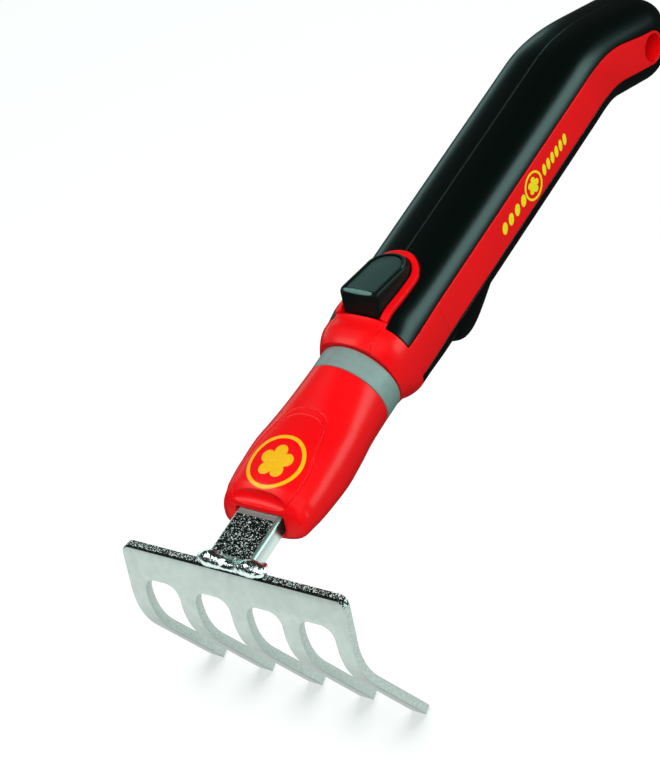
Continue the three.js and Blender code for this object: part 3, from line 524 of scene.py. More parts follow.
def settle(base, spent=()):
    """Turns a piece's modifiers into its own mesh and clears away what they used."""
    graph = bpy.context.evaluated_depsgraph_get()
    mesh = bpy.data.meshes.new_from_object(base.evaluated_get(graph), depsgraph=graph)
    base.modifiers.clear()
    old, base.data = base.data, mesh
    bpy.data.meshes.remove(old)
    for cutter in dict.fromkeys(spent):
        bpy.data.objects.remove(cutter, do_unlink=True)
    if not mesh.polygons:
        raise RuntimeError(f"{base.name} came out empty")
    mesh.name = base.name
    return base


def carve(base, *steps):
    """Cuts or joins solids: each step is a cutter, or a pair of an operation and a solid."""
    cutters = []
    for step in steps:
        operation, cutter = step if isinstance(step, tuple) else ("DIFFERENCE", step)
        modifier = base.modifiers.new("form", "BOOLEAN")
        modifier.operation = operation
        modifier.solver = "MANIFOLD"
        modifier.object = cutter
        cutters.append(cutter)
    return settle(base, cutters)


def bevelled(piece, width, angle):
    modifier = piece.modifiers.new("edges", "BEVEL")
    modifier.width = width / METRE
    modifier.segments = 3
    modifier.limit_method = "ANGLE"
    modifier.angle_limit = math.radians(angle)
    return settle(piece)


def copy_of(piece, name):
    return add_object(name, piece.data.copy())


def biggest(piece):
    """Keeps the largest connected body of a piece."""
    with editing(piece) as form:
        left, groups = set(form.verts), []
        while left:
            seed = left.pop()
            group, front = {seed}, [seed]
            while front:
                near = {vert for edge in front.pop().link_edges for vert in edge.verts} & left
                left -= near
                group |= near
                front += near
            groups.append(group)
        keep = max(groups, key=len)
        bmesh.ops.delete(form, geom=[vert for vert in form.verts if vert not in keep], context="VERTS")
    return piece


def smooth(piece, angle=32):
    for face in piece.data.polygons:
        face.use_smooth = True
    piece.data.set_sharp_from_angle(angle=math.radians(angle))


def finish_piece(piece, body, slot, finish, *nodes, angle):
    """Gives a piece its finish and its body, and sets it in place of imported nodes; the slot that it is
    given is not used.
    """
    piece.data.materials.clear()
    piece.data.materials.append(FINISHES[finish])
    smooth(piece, angle)
    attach(piece, body)
    if nodes:
        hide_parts(*nodes)


def repeat_tree():
    """One tree for all repeats: it sets a piece on every point, makes it real and coats it."""
    tree = bpy.data.node_groups.get("repeat")
    if tree:
        return tree
    tree = bpy.data.node_groups.new("repeat", "GeometryNodeTree")
    kinds = {"Geometry": "Geometry", "Piece": "Object", "Size": "Float", "Finish": "Material"}
    for name, kind in kinds.items():
        tree.interface.new_socket(name, in_out="INPUT", socket_type=f"NodeSocket{kind}")
    tree.interface.new_socket("Geometry", in_out="OUTPUT", socket_type="NodeSocketGeometry")
    gate, out = tree.nodes.new("NodeGroupInput"), tree.nodes.new("NodeGroupOutput")
    info, place, real, coat = [tree.nodes.new(f"GeometryNode{kind}") for kind in (
        "ObjectInfo", "InstanceOnPoints", "RealizeInstances", "SetMaterial")]
    for start, end in (
            (gate.outputs["Piece"], info.inputs["Object"]),
            (gate.outputs["Geometry"], place.inputs["Points"]),
            (info.outputs["Geometry"], place.inputs["Instance"]),
            (gate.outputs["Size"], place.inputs["Scale"]),
            (place.outputs[0], real.inputs[0]), (real.outputs[0], coat.inputs["Geometry"]),
            (gate.outputs["Finish"], coat.inputs["Material"]), (coat.outputs[0], out.inputs[0])):
        tree.links.new(start, end)
    return tree


def scatter(name, spots, seed, finish, spin=Matrix()):
    """A piece that repeats the seed at every spot, with the seed's own zero set down there."""
    seed.data.transform(spin @ Matrix.Translation(-HOME / METRE))
    row = make_object(name, spots, [])
    modifier = row.modifiers.new("repeat", "NODES")
    modifier.node_group = tree = repeat_tree()
    inputs = {item.name: item.identifier for item in tree.interface.items_tree if item.in_out == "INPUT"}
    modifier[inputs["Piece"]] = seed
    modifier[inputs["Size"]] = 1.0
    modifier[inputs["Finish"]] = FINISHES[finish]
    return settle(row, [seed])


# Forms

def oval(place, half_width, top, bottom, top_power, bottom_power, count=128):
    """A ring round a place, squarer the higher its powers are."""
    x, z, dip = place
    ring = []
    for t in turns(count):
        c, s = math.cos(t), math.sin(t)
        power = top_power if s > 0 else bottom_power
        y = half_width * math.copysign(abs(c) ** (2 / power), c)
        h = (top if s > 0 else bottom) * math.copysign(abs(s) ** (2 / power), s)
        ring.append((x + h * math.sin(dip), y, z + h * math.cos(dip)))
    return ring


def head_section(share):
    high = RING / HEAD_HALF_HEIGHT
    return flow(HEAD_ROWS + [(1, RING / HEAD_HALF_WIDTH, high, high, 2, 2)], share)


def mouth_lean(share, z):
    """How far back the leaning mouth moves the head's skin, which fades out behind the lip."""
    rise = share_between(z, TANG_TOP - TANG_HEIGHT, TANG_TOP)
    return MOUTH_LEAN * rise * max(1 - share / LEAN_FADE, 0)


def head_form():
    """The head's outer skin, with its stations closest together at the mouth."""
    rings = []
    for share in [0.003 * i for i in range(10)] + [0.03 + 0.01 * i for i in range(6)] + spread(0.09, 1, 72):
        width, up, down, p, q = head_section(share)
        ring = oval((MOUTH_X + share * HEAD_LENGTH, 0, 0), HEAD_HALF_WIDTH * width, HEAD_HALF_HEIGHT * up,
                    HEAD_HALF_HEIGHT * down, p, q)
        rings.append([(x + mouth_lean(share, z), y, z) for x, y, z in ring])
    return loft("head_form", rings)


def head_top(x, y):
    """The height of the head's upper surface over a point in plan."""
    lean = MOUTH_LEAN / HEAD_LENGTH
    share = (x - MOUTH_X) / HEAD_LENGTH
    if share < LEAN_FADE:
        share = (share - lean) / (1 - lean / LEAN_FADE)
    width, up, _, power, _ = head_section(min(max(share, 0), 1))
    across = min(abs(y) / (HEAD_HALF_WIDTH * width), 1)
    return HEAD_HALF_HEIGHT * up * (1 - across**power) ** (1 / power)


def surface_path(outline, lift=0.0):
    return [(x, y, head_top(x, y) + lift) for x, y in outline]


def handle_place(along):
    """The handle's middle at a length from its nose, with how far it dips there."""
    dip = min(max(along - STRAIGHT, 0), DROOP_END - STRAIGHT) / DROOP_RADIUS
    past = max(along - DROOP_END, 0)
    x = NOSE_X + min(along, STRAIGHT) + DROOP_RADIUS * math.sin(dip) + past * math.cos(dip)
    z = -DROOP_RADIUS * (1 - math.cos(dip)) - past * math.sin(dip)
    return x, z, dip


def point_over(along, height):
    x, z, dip = handle_place(along)
    return x + height * math.sin(dip), z + height * math.cos(dip)


def taper(along):
    return 1 + (DROOP_TAPER - 1) * eased(share_between(along, STRAIGHT, DROOP_END))


def stop_rise(along):
    """How far the finger stop stands out below the handle."""
    share = (along - STOP_FROM_NOSE) / STOP_LENGTH
    return STOP_HEIGHT * math.sin(math.pi * share**STOP_SKEW) if 0 < share < 1 else 0


def handle_ring(along, inset, with_stop, shrink=1):
    width, up, down, p, q = flow(NOSE_ROWS, along / NOSE_LENGTH) if along < NOSE_LENGTH else NOSE_ROWS[-1][1:]
    rise = stop_rise(along) if with_stop else 0
    size = taper(along)
    return oval(handle_place(along), (GRIP_HALF_WIDTH * size * width - inset) * shrink,
                (GRIP_TOP * size * up - inset) * shrink,
                ((GRIP_BOTTOM + rise) * size * down - inset) * shrink, p, q)


def handle_form(inset, with_stop=False):
    """The handle's outer skin, moved in by an inset, with the finger stop or without."""
    stations = [0, 0.25, 0.5, 0.9, 1.4, *range(2, 27)]
    stations += spread(STOP_FROM_NOSE, STOP_FROM_NOSE + STOP_LENGTH, 44 if with_stop else 4)
    stations += [*range(60, STRAIGHT, 8), *spread(STRAIGHT, DROOP_END, 20)]
    rings = [handle_ring(along, inset, with_stop) for along in stations]
    for turn in spread(0, math.pi / 2, END_STEPS)[1:]:
        share = math.sin(turn)
        shrink = max((1 - share**END_POWER) ** (1 / END_POWER), END_TIP)
        along = HANDLE_END - END_ROUND + share * (END_ROUND - inset)
        rings.append(handle_ring(along, inset, with_stop, shrink))
    return loft("handle_form", rings)


def strip_level(along, upper):
    """The height of the strip's upper or lower edge: the strip narrows towards its round end."""
    share = share_between(along, (STRAIGHT + DROOP_END) / 2, HOLE_ALONG)
    front, rear = (STRIP_TOP, STRIP_REAR_TOP) if upper else (-STRIP_BOTTOM, -STRIP_REAR_BOTTOM)
    return front + (rear - front) * eased(share)


def side_mask(start, upper, shift, far):
    """All between a shifted edge of the side strip and a far height, back from a station."""
    stations = [start] + (spread(STRAIGHT, HOLE_ALONG, 30) if start < STRAIGHT else []) + [HANDLE_END + PAST]
    edge = [point_over(along, strip_level(along, upper) + shift) for along in stations]
    back = [point_over(along, far) for along in stations]
    return along_y(edge + back[::-1], -REACH, REACH)


def grip_mask(upper, shrink):
    """The room of the upper or the lower grips, drawn in from its edges."""
    front = GRIP_FRONT + shrink
    if not upper:
        return side_mask(front, False, -shrink, -REACH)
    behind = side_mask(HOLE_ALONG, False, 2 * shrink - GAP, REACH)
    middle = point_over(HOLE_ALONG, -HOLE_DROP)
    round_end = rod_y(HOLE_RADIUS + HOLE_RIM + shrink, *middle, -BEYOND, BEYOND, 96)
    over = side_mask(front, True, shrink, REACH)
    over = carve(over, along_z(recess_outline(BOW + shrink, NOSE_X - PAST), 0, REACH))
    return carve(over, ("UNION", carve(behind, round_end)))


def recess_outline(grow, front):
    half = RECESS_HALF + grow
    return [(front, -half)] + arc(RECESS_REAR - RECESS_HALF, 0, half, -90, 90, 40) + [(front, half)]


def half_space(side):
    """All that lies on one side of the joint in the middle plane."""
    near, far = side * GAP / 2, side * ROOM_HALF_WIDTH
    return block(*ROOM_LENGTH, min(near, far), max(near, far), *ROOM_HEIGHT)


def cover_block(grow):
    """The room of the nose cover."""
    half = COVER_HALF + grow
    plan = block(NOSE_X - PAST, RECESS_FRONT + grow, -half, half, BARREL, REACH)
    return carve(plan, handle_form(COVER_SKIN + grow))


def catch_window(top):
    """The window that the button's stem and the latch's catch share."""
    half = LATCH_WIDTH / 2 + GAP
    return block(CATCH_FRONT - GAP, CATCH_REAR + GAP, -half, half, 0, top)


# Shader maths

class Field:
    """A value socket of a material, so that maths on it reads as Python."""

    def __init__(self, finish, socket):
        self.finish = finish
        self.socket = socket

    def _math(self, operation, *values):
        node = self.finish.node("ShaderNodeMath", {"operation": operation}, *values)
        return Field(self.finish, node.outputs[0])

    def __add__(self, other):
        return self._math("ADD", self, other)

    def __sub__(self, other):
        return self._math("SUBTRACT", self, other)

    def __rsub__(self, other):
        return self._math("SUBTRACT", other, self)

    def __mul__(self, other):
        return self._math("MULTIPLY", self, other)

    __radd__ = __add__
    __rmul__ = __mul__

    def between(self, low, high):
        """Rises smoothly from 0 at low to 1 at high."""
        node = self.finish.node("ShaderNodeMapRange", {"interpolation_type": "SMOOTHSTEP"},
                                self, low, high, 0, 1)
        return Field(self.finish, node.outputs[0])


class Finish:
    """A procedural material with its coordinates in millimetres of the working frame."""

    def __init__(self, name, colour, roughness, metallic=0.0):
        self.material = bpy.data.materials.new(name)
        self.material.use_nodes = True
        self.tree = self.material.node_tree
        self.shader = self.tree.nodes["Principled BSDF"]
        self.set("Base Color", colour)
        self.set("Roughness", roughness)
        self.set("Metallic", metallic)
        self.material.diffuse_color = (*colour, 1)
        place = self.node("ShaderNodeTexCoord")
        scaled = self.node("ShaderNodeVectorMath", {"operation": "MULTIPLY_ADD"},
                           place.outputs["Object"], (METRE, METRE, METRE), tuple(-OFFSET))
        self.place = scaled.outputs[0]

    def feed(self, socket, value):
        """Links a socket to a value's own socket, or sets it to a plain value."""
        if isinstance(value, Field):
            value = value.socket
        if isinstance(value, bpy.types.NodeSocket):
            self.tree.links.new(value, socket)
        else:
            socket.default_value = (*value, 1) if socket.type == "RGBA" else value

    def node(self, kind, settings=None, *values, **named):
        made = self.tree.nodes.new(kind)
        for key, value in (settings or {}).items():
            setattr(made, key, value)
        for socket, value in zip(made.inputs, values):
            self.feed(socket, value)
        for key, value in named.items():
            self.feed(made.inputs[key], value)
        return made

    def set(self, name, value):
        self.feed(self.shader.inputs[name], value)

    def axes(self):
        node = self.node("ShaderNodeSeparateXYZ", None, self.place)
        return [Field(self, out) for out in node.outputs]

    def attribute(self, name):
        return Field(self, self.node("ShaderNodeAttribute", {"attribute_name": name}).outputs["Fac"])

    def noise(self, scale, detail=2.0, stretch=(1, 1, 1), rough=0.5):
        place = self.node("ShaderNodeVectorMath", {"operation": "MULTIPLY"}, self.place, stretch)
        node = self.node("ShaderNodeTexNoise", Vector=place.outputs[0], Scale=scale, Detail=detail,
                         Roughness=rough)
        return Field(self, node.outputs["Fac"])

    def cells(self, scale):
        node = self.node("ShaderNodeTexVoronoi", Vector=self.place, Scale=scale)
        return Field(self, node.outputs["Distance"])

    def blend(self, mask, first, second):
        """A colour that goes from first to second as mask rises from 0 to 1."""
        node = self.node("ShaderNodeMix", {"data_type": "RGBA"})
        for index, value in ((0, mask), (6, first), (7, second)):
            self.feed(node.inputs[index], value)
        return node.outputs[2]

    def tint(self, mask, first, second):
        self.set("Base Color", self.blend(mask, first, second))

    def bump(self, height, strength, distance=0.0001, soft_edge=0.0):
        """Bumps the surface, and rounds its edges off by soft_edge millimetres."""
        named = {"Height": height, "Strength": strength, "Distance": distance}
        if soft_edge:
            named["Normal"] = self.node("ShaderNodeBevel", {"samples": 6}, soft_edge / METRE).outputs[0]
        self.set("Normal", self.node("ShaderNodeBump", None, **named).outputs[0])


# Finishes

FINISHES = {}


def shade(colour, share):
    return [channel * share for channel in colour]


def plated_steel(settings):
    """Plating: satin on faces with painted shade low down, sawn on cut walls and speckled on the top edge;
    the tang's near side has a painted reflection and a painted shadow at the mouth.
    """
    colour = settings.plating
    finish = Finish("plated_steel", colour, 0.36, 0.85)
    x, y, z = finish.axes()
    cut = finish.attribute("cut_face")
    on_wall, on_top = cut.between(0.26, 0.4), cut.between(0.55, 0.7)
    coarse = finish.noise(0.35, 2)
    face = finish.blend(coarse.between(0.3, 0.7), colour, shade(colour, 0.94))
    # Painted shade: the faces grow darker low down the tines, where they mirror the shaded floor.
    front = finish.blend((0 - z).between(14, 38), face, shade(colour, 0.47))

    bottom = TANG_TOP - TANG_HEIGHT
    # Painted reflection on the tang's near side: light where it mirrors the floor, greyer towards its top and
    # bottom edges, and painted shadow where it runs into the mouth
    mirrored_floor = z.between(0, TANG_TOP - 1) * 0.6 + z.between(bottom + 1.5, bottom + 0.3) * 0.9
    lit = finish.blend(mirrored_floor, (0.62, 0.7, 0.67), (0.24, 0.29, 0.275))
    side_sheen_and_shadow = finish.blend(x.between(MOUTH_X - 3, MOUTH_X - 0.5), lit, (0.05, 0.06, 0.057))
    sides = finish.blend((0 - cut).between(0.2, 0.8), front, side_sheen_and_shadow)

    edged = finish.blend(cut.between(0.06, 0.16) - on_wall, sides, shade(colour, 0.5))
    streaks = finish.noise(2.2, 3, rough=0.7).between(0.4, 0.62)
    walls = finish.blend(on_wall, edged, finish.blend(streaks, shade(colour, 0.66), shade(colour, 0.86)))
    specks = (finish.noise(2.0, 2.5, rough=0.72) - 0.045 * cut.between(0.8, 1)).between(0.54, 0.575)
    topped = finish.blend(on_top, walls, finish.blend(specks, (0.004, 0.013, 0.011), shade(colour, 1.6)))
    rim = (math.cos(UPPER_LEAN) * x - math.sin(UPPER_LEAN) * (z - BLADE_RISE)).between(0.9, 0.6)
    dark = rim * on_top * (y * y).between(DARK_RIM_HALF**2, (DARK_RIM_HALF - 1)**2)
    finish.tint(dark, topped, (0.006, 0.01, 0.009))
    finish.set("Metallic", 0.85 - 0.7 * specks * on_top)
    finish.set("Roughness", 0.3 + 0.12 * coarse + 0.16 * cut)
    finish.bump(finish.noise(3.2, 2) * (0.15 + cut), 0.25, 0.00012, 0.35)
    return finish.material


def weld_metal(settings):
    finish = Finish("weld_metal", settings.weld, 0.16, 1.0)
    ripple = finish.noise(0.42, 3, rough=0.55)
    finish.set("Roughness", 0.08 + 0.16 * ripple.between(0.4, 0.7))
    finish.bump(ripple, 0.6, 0.0009)
    return finish.material


def gloss_red(settings):
    red, green, blue = settings.red
    finish = Finish("gloss_red", settings.red, 0.27)
    finish.tint(finish.noise(0.06, 1).between(0.3, 0.7), settings.red, (red * 0.96, green, blue))
    finish.set("Specular IOR Level", 0.3)
    finish.set("Roughness", 0.3 + 0.05 * finish.noise(0.8, 2))
    finish.bump(finish.noise(3.5, 2), 0.015, 0.0001, 0.4)
    return finish.material


def satin_grey(settings):
    finish = Finish("satin_grey", settings.grey, 0.42)
    finish.tint(finish.noise(0.5, 2).between(0.3, 0.7), settings.grey, shade(settings.grey, 0.93))
    finish.set("Roughness", 0.38 + 0.1 * finish.noise(1.6, 3))
    finish.bump(finish.noise(6, 2), 0.05, 0.0001, 0.35)
    return finish.material


def soft_grip(settings):
    finish = Finish("soft_grip", settings.grip, 0.5)
    fine = finish.noise(5, 3)
    finish.tint(fine.between(0.35, 0.65), settings.grip, shade(settings.grip, 1.25))
    finish.set("Roughness", 0.27 + 0.06 * fine)
    finish.bump(finish.cells(2.8) * 0.6 + fine * 0.4, 0.05, 0.0001, 0.5)
    return finish.material


def button_plastic(settings, name="button_plastic", grain=0.1, lift=1.0):
    """The button's plastic: the pad and the lip have a coarser grain and a lifted colour; the lip's far
    lifted colour is a painted highlight.
    """
    colour = shade(settings.button, lift)
    finish = Finish(name, colour, 0.42)
    finish.set("Specular IOR Level", 0.2 if lift <= 1 else 0.5)
    pits = finish.noise(4.5 if grain < 0.3 else 2.6, 3, rough=0.7)
    finish.tint(pits.between(0.35, 0.65), shade(colour, 0.8), shade(colour, 1.2))
    finish.set("Roughness", 0.36 + 0.14 * pits)
    finish.bump(pits, grain, 0.00025, 0.45)
    return finish.material


def plain_steel(settings):
    finish = Finish("bright_steel", settings.steel, 0.3, 1.0)
    lines = finish.noise(2.5, 2, (0.2, 1, 1))
    finish.set("Roughness", 0.24 + 0.16 * lines)
    finish.bump(lines, 0.05)
    return finish.material


def dark_plastic(settings):
    finish = Finish("dark_plastic", settings.dark, 0.48)
    finish.set("Roughness", 0.42 + 0.14 * finish.noise(2, 3))
    finish.bump(finish.noise(4, 2), 0.06, 0.0001, 0.3)
    return finish.material


def emblem_yellow(settings, name="emblem_yellow", lift=1.0):
    colour = [min(channel * lift, 1) for channel in settings.yellow]
    finish = Finish(name, colour, 0.35)
    finish.tint(finish.noise(0.9, 2).between(0.3, 0.7), colour, shade(colour, 0.9))
    finish.bump(finish.noise(5, 2), 0.05, 0.0001, 0.15)
    return finish.material


def seam_grey(settings):
    finish = Finish("seam_grey", settings.seam, 0.4)
    finish.set("Roughness", 0.35 + 0.15 * finish.noise(1.1, 2))
    finish.tint(finish.noise(0.7, 2).between(0.4, 0.6), settings.seam, shade(settings.seam, 0.3))
    return finish.material


# Settings

class RakeSizes(bpy.types.PropertyGroup):
    plate: FloatProperty(name="Plate", description="Thickness of the blade", default=0.0031, unit="LENGTH")
    plate_edge: FloatProperty(name="Plate edge", description="Rounding of the blade's edges",
                              default=0.0003, unit="LENGTH")
    tang_width: FloatProperty(name="Tang width", description="Width of the flat tang", default=0.0168,
                              unit="LENGTH")
    weld_radius: FloatProperty(name="Weld", description="Radius of the weld bead", default=0.0027,
                               unit="LENGTH")
    emblem_radius: FloatProperty(name="Emblem", description="Outer radius of the yellow ring",
                                 default=0.0098, unit="LENGTH")
    mark_radius: FloatProperty(name="Strip mark", description="Outer radius of the ring on the strip",
                               default=0.0049, unit="LENGTH")
    groove: FloatProperty(name="Groove", description="Radius of the fine grooves", default=0.00028,
                          unit="LENGTH")
    petals: IntProperty(name="Petals", description="Petals of the emblem's rosette", default=5, min=3)
    seam_dots: IntProperty(name="Seam dots", description="Dots along the grip's top seam", default=120, min=2)


class RakeColours(bpy.types.PropertyGroup):
    plating: FloatVectorProperty(name="Plating", description="Plated steel", subtype="COLOR",
                                 default=(0.6, 0.68, 0.64))
    weld: FloatVectorProperty(name="Weld", description="Plated weld bead", subtype="COLOR",
                              default=(0.72, 0.85, 0.83))
    red: FloatVectorProperty(name="Red", description="Glossy plastic", subtype="COLOR",
                             default=(0.9, 0.0035, 0.006))
    grey: FloatVectorProperty(name="Grey", description="Socket ring", subtype="COLOR",
                              default=(0.225, 0.305, 0.285))
    grip: FloatVectorProperty(name="Grip", description="Soft grip rubber", subtype="COLOR",
                              default=(0.0004, 0.002, 0.0015))
    button: FloatVectorProperty(name="Button", description="Release button", subtype="COLOR",
                                default=(0.003, 0.0065, 0.0057))
    steel: FloatVectorProperty(name="Steel", description="Pins, screws and springs", subtype="COLOR",
                               default=(0.55, 0.57, 0.58))
    dark: FloatVectorProperty(name="Dark plastic", description="Tongue of the head", subtype="COLOR",
                              default=(0.025, 0.028, 0.028))
    seam: FloatVectorProperty(name="Seam", description="Dots along the grip's seam", subtype="COLOR",
                              default=(0.025, 0.04, 0.036))
    yellow: FloatVectorProperty(name="Yellow", description="Emblem", subtype="COLOR",
                                default=(0.93, 0.5, 0.004))


class RakeStudio(bpy.types.PropertyGroup):
    sky: FloatProperty(name="Sky", description="Strength of the surroundings", default=0.03, min=0)
    side: FloatProperty(name="Side", description="Power of the side softbox", default=5.4, min=0,
                        unit="POWER")
    back: FloatProperty(name="Back", description="Power of the far softbox", default=1.05, min=0,
                        unit="POWER")
    top: FloatProperty(name="Top", description="Power of the top softbox", default=2.6, min=0, unit="POWER")
    fill: FloatProperty(name="Fill", description="Power of the matt fill light", default=13.5, min=0,
                        unit="POWER")
    under: FloatProperty(name="Floor light", description="Power of the floor's own light", default=6.6,
                         min=0, unit="POWER")
    spark: FloatProperty(name="Spark", description="Power of the light on the weld", default=4, min=0,
                         unit="POWER")
    card: FloatProperty(name="Card", description="Power of the card that the steel mirrors", default=8.7,
                        min=0, unit="POWER")
    floor_glow: FloatProperty(name="Floor glow", description="Light that the floor itself gives",
                              default=0.67, min=0)


def millimetres(value):
    return value * METRE


# Pieces

class RAKE_OT_finishes(bpy.types.Operator):
    """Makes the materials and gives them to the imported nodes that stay"""
    bl_idname = "rake.finishes"
    bl_label = "Finishes"

    def execute(self, context):
        colours = context.scene.rake_colours
        FINISHES.update(
            plating=plated_steel(colours), weld=weld_metal(colours), red=gloss_red(colours),
            grey=satin_grey(colours), grip=soft_grip(colours), button=button_plastic(colours),
            pad=button_plastic(colours, "button_pad_grain", 0.5, 7.5),
            # The lip's colour is lifted far above the button's: a painted highlight on the rounded front
            # edge.
            lip=button_plastic(colours, "button_lip_grain", 0.6, 34),
            steel=plain_steel(colours), dark=dark_plastic(colours), yellow=emblem_yellow(colours),
            # The strip marks' yellow is lifted above the emblem's: painted light on the side strip.
            mark=emblem_yellow(colours, "mark_yellow", 1.6), seam=seam_grey(colours))
        kept = {"tang_pin": "steel", "head_spigot": "dark", "latch_spring": "steel", "latch_rivet": "steel",
                "button_pin": "steel", "button_spring": "steel"}
        for node, finish in kept.items():
            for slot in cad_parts[node].material_slots:
                slot.material = FINISHES[finish]
        return {"FINISHED"}


def blade_path(down):
    """Front point and lean of the blade at a length down from its top edge."""
    upper = min(down, UPPER_LENGTH)
    x, z = -upper * math.sin(UPPER_LEAN), BLADE_RISE - upper * math.cos(UPPER_LEAN)
    if down <= UPPER_LENGTH:
        return x, z, -UPPER_LEAN
    turn = min((down - UPPER_LENGTH) / BEND_RADIUS, UPPER_LEAN + LOWER_LEAN) - UPPER_LEAN
    x += BEND_RADIUS * (math.cos(UPPER_LEAN) - math.cos(turn))
    z -= BEND_RADIUS * (math.sin(UPPER_LEAN) + math.sin(turn))
    past = max(down - UPPER_LENGTH - BEND_LENGTH, 0)
    return x + past * math.sin(turn), z - past * math.cos(turn), turn


def length_at(z):
    """The length down the blade at which it reaches a height."""
    low, high = 0.0, BLADE_LENGTH
    for _ in range(40):
        middle = (low + high) / 2
        low, high = (middle, high) if blade_path(middle)[1] > z else (low, middle)
    return low


def blade_outline():
    """The flat plate's outline, in points across it and down it."""
    half, tip = BLADE_WIDTH / 2, BLADE_LENGTH - TINE_NIP
    pitch = (BLADE_WIDTH - TINE_TIP) / (TINES - 1)
    reach, level = (pitch - TINE_ROOT) / 2 - SLOT_CORNER, SLOT_TOP - SLOT_CORNER
    outline = arc(BLADE_CORNER - half, BLADE_CORNER, BLADE_CORNER, 180, 270, 8)
    outline += arc(half - BLADE_CORNER, BLADE_CORNER, BLADE_CORNER, 270, 360, 8)
    for i in range(TINES):
        middle = half - TINE_TIP / 2 - i * pitch
        outline += arc(middle + TINE_TIP / 2 - TINE_NIP, tip, TINE_NIP, 0, 90, 5)
        outline += arc(middle - TINE_TIP / 2 + TINE_NIP, tip, TINE_NIP, 90, 180, 5)
        if i < TINES - 1:
            slot = middle - pitch / 2
            rounded = arc(slot + reach, level, SLOT_CORNER, 0, 90, 12)
            rounded += arc(slot - reach, level, SLOT_CORNER, 90, 180, 12)
            outline += [(y, length_at(z)) for y, z in rounded]
    return outline


class RAKE_OT_blade(bpy.types.Operator):
    """Makes the bowed five-tine blade as a flat plate, then bends it"""
    bl_idname = "rake.blade"
    bl_label = "Blade"

    def execute(self, context):
        sizes = context.scene.rake_sizes
        blade = prism("rake_blade_plate", blade_outline(), BLADE_FRONT, millimetres(sizes.plate),
                      lambda u, v, w: (w, u, -v))
        blade = bevelled(blade, millimetres(sizes.plate_edge), 50)
        with editing(blade) as form:
            self.split(form)
            self.mark_cuts(form)
            self.bend(form)
            bmesh.ops.recalc_face_normals(form, faces=form.faces)
        finish_piece(blade, "head", "plated_steel", "plating", "rake_blade", angle=28)
        return {"FINISHED"}

    def split(self, form):
        """Cuts the flat plate across into strips that can bend."""
        lower = UPPER_LENGTH + BEND_LENGTH
        cuts = [*UPPER_CUTS, *spread(UPPER_LENGTH, lower, 26), *spread(lower, BLADE_LENGTH, 8)[1:-1]]
        for down in cuts:
            bmesh.ops.bisect_plane(form, geom=form.verts[:] + form.edges[:] + form.faces[:],
                                   plane_co=(Vector((0, 0, -down)) + HOME) / METRE, plane_no=(0, 0, 1))

    def mark_cuts(self, form):
        """Writes on every face how much of a cut wall it is, and which lie on the plate's top edge."""
        layer = form.faces.layers.float.new("cut_face")
        for face in form.faces:
            face.normal_update()
            wall = 1.0 - min(abs(face.normal.x) * 1.3, 1.0)
            middle = face.calc_center_median() * METRE - HOME
            top = face.normal.z > 0.2 and middle.z > -4
            face[layer] = TOP_CUT if top and (wall > 0.6 or middle.x < 0.2) else wall / 2

    def bend(self, form):
        """Moves the flat plate's points onto the bowed path, with its top edge bevelled."""
        for vert in form.verts:
            depth, across, level = vert.co * METRE - HOME
            down = max(-level, 0)
            rise = depth * math.tan(TOP_BEVEL) * max(0, 1 - down / BEVEL_FADE) + max(level, 0)
            x, z, turn = blade_path(down)
            x += depth * math.cos(turn) - rise * math.sin(turn)
            z += depth * math.sin(turn) + rise * math.cos(turn)
            vert.co = (Vector((x, across, z)) + HOME) / METRE


def tang_outline(width, grow=0.0):
    level = TANG_TOP - TANG_HEIGHT / 2
    return rounded_box(width + 2 * grow, TANG_HEIGHT + 2 * grow, TANG_EDGE + grow, level, 10)


def pin_hole(low, high):
    """The tang pin's hole between two heights."""
    return along_z(circle(MOUTH_X + TANG_EMBED - MOUTH_DEPTH, 0, TANG_PIN_RADIUS + GAP), low, high)


class RAKE_OT_tang(bpy.types.Operator):
    """Makes the flat tang and the lumpy weld bead round its front end"""
    bl_idname = "rake.tang"
    bl_label = "Tang and weld"

    def execute(self, context):
        sizes = context.scene.rake_sizes
        outline = tang_outline(millimetres(sizes.tang_width))
        front, rear = [corner[0] * METRE - OFFSET[0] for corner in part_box("tang")]
        # The tang's top is speckled up to here, just outside the mouth
        band = MOUTH_X + MOUTH_LEAN - 2
        rings = [[(x, y, z) for y, z in outline] for x in (front, band, band + 2, band + 6, rear)]
        tang = carve(loft("tang_bar", rings), pin_hole(-12, 12))
        layer = tang.data.attributes.new("cut_face", "FLOAT", "FACE")
        for face, item in zip(tang.data.polygons, layer.data):
            if face.normal.z > 0.97 and face.center[0] * METRE - OFFSET[0] < band:
                item.value = ROUGH_FACE
            # The near side is marked for its painted reflection and painted shadow
            elif face.normal.y < -0.9:
                item.value = PAINTED_SHEEN_FACE
        finish_piece(tang, "head", "plated_steel", "plating", "tang", angle=40)

        radius = millimetres(sizes.weld_radius)
        weld = add_object("weld_lobes", bpy.data.meshes.new("weld_lobes"))
        with editing(weld) as form:
            for centre, wide, deep, tall in WELD_LOBES:
                size = [share * radius / METRE for share in (deep, wide, tall)]
                place = Matrix.Translation((Vector(centre) + HOME) / METRE) @ Matrix.Diagonal((*size, 1))
                bmesh.ops.create_icosphere(form, subdivisions=4, radius=1, matrix=place)
        melt = weld.modifiers.new("melt", "REMESH")
        melt.mode = "VOXEL"
        melt.voxel_size = WELD_VOXEL / METRE
        soften = weld.modifiers.new("soften", "SMOOTH")
        soften.factor = 0.6
        soften.iterations = 16
        finish_piece(settle(weld), "head", "weld", "weld", "weld_bead", angle=80)
        return {"FINISHED"}


def lip_hollow():
    """The round cutter for the shallow hollow behind the lip, which runs out towards both walls."""
    path = surface_path(mirrored(LIP_HOLLOW), HOLLOW_LIFT)
    shares = [share_between(abs(y), *HOLLOW_FADE) for _, y, _ in path]
    return tube("cutter", path, [float(HOLLOW_RADIUS - HOLLOW_THINNING * share**2) for share in shares], 48)


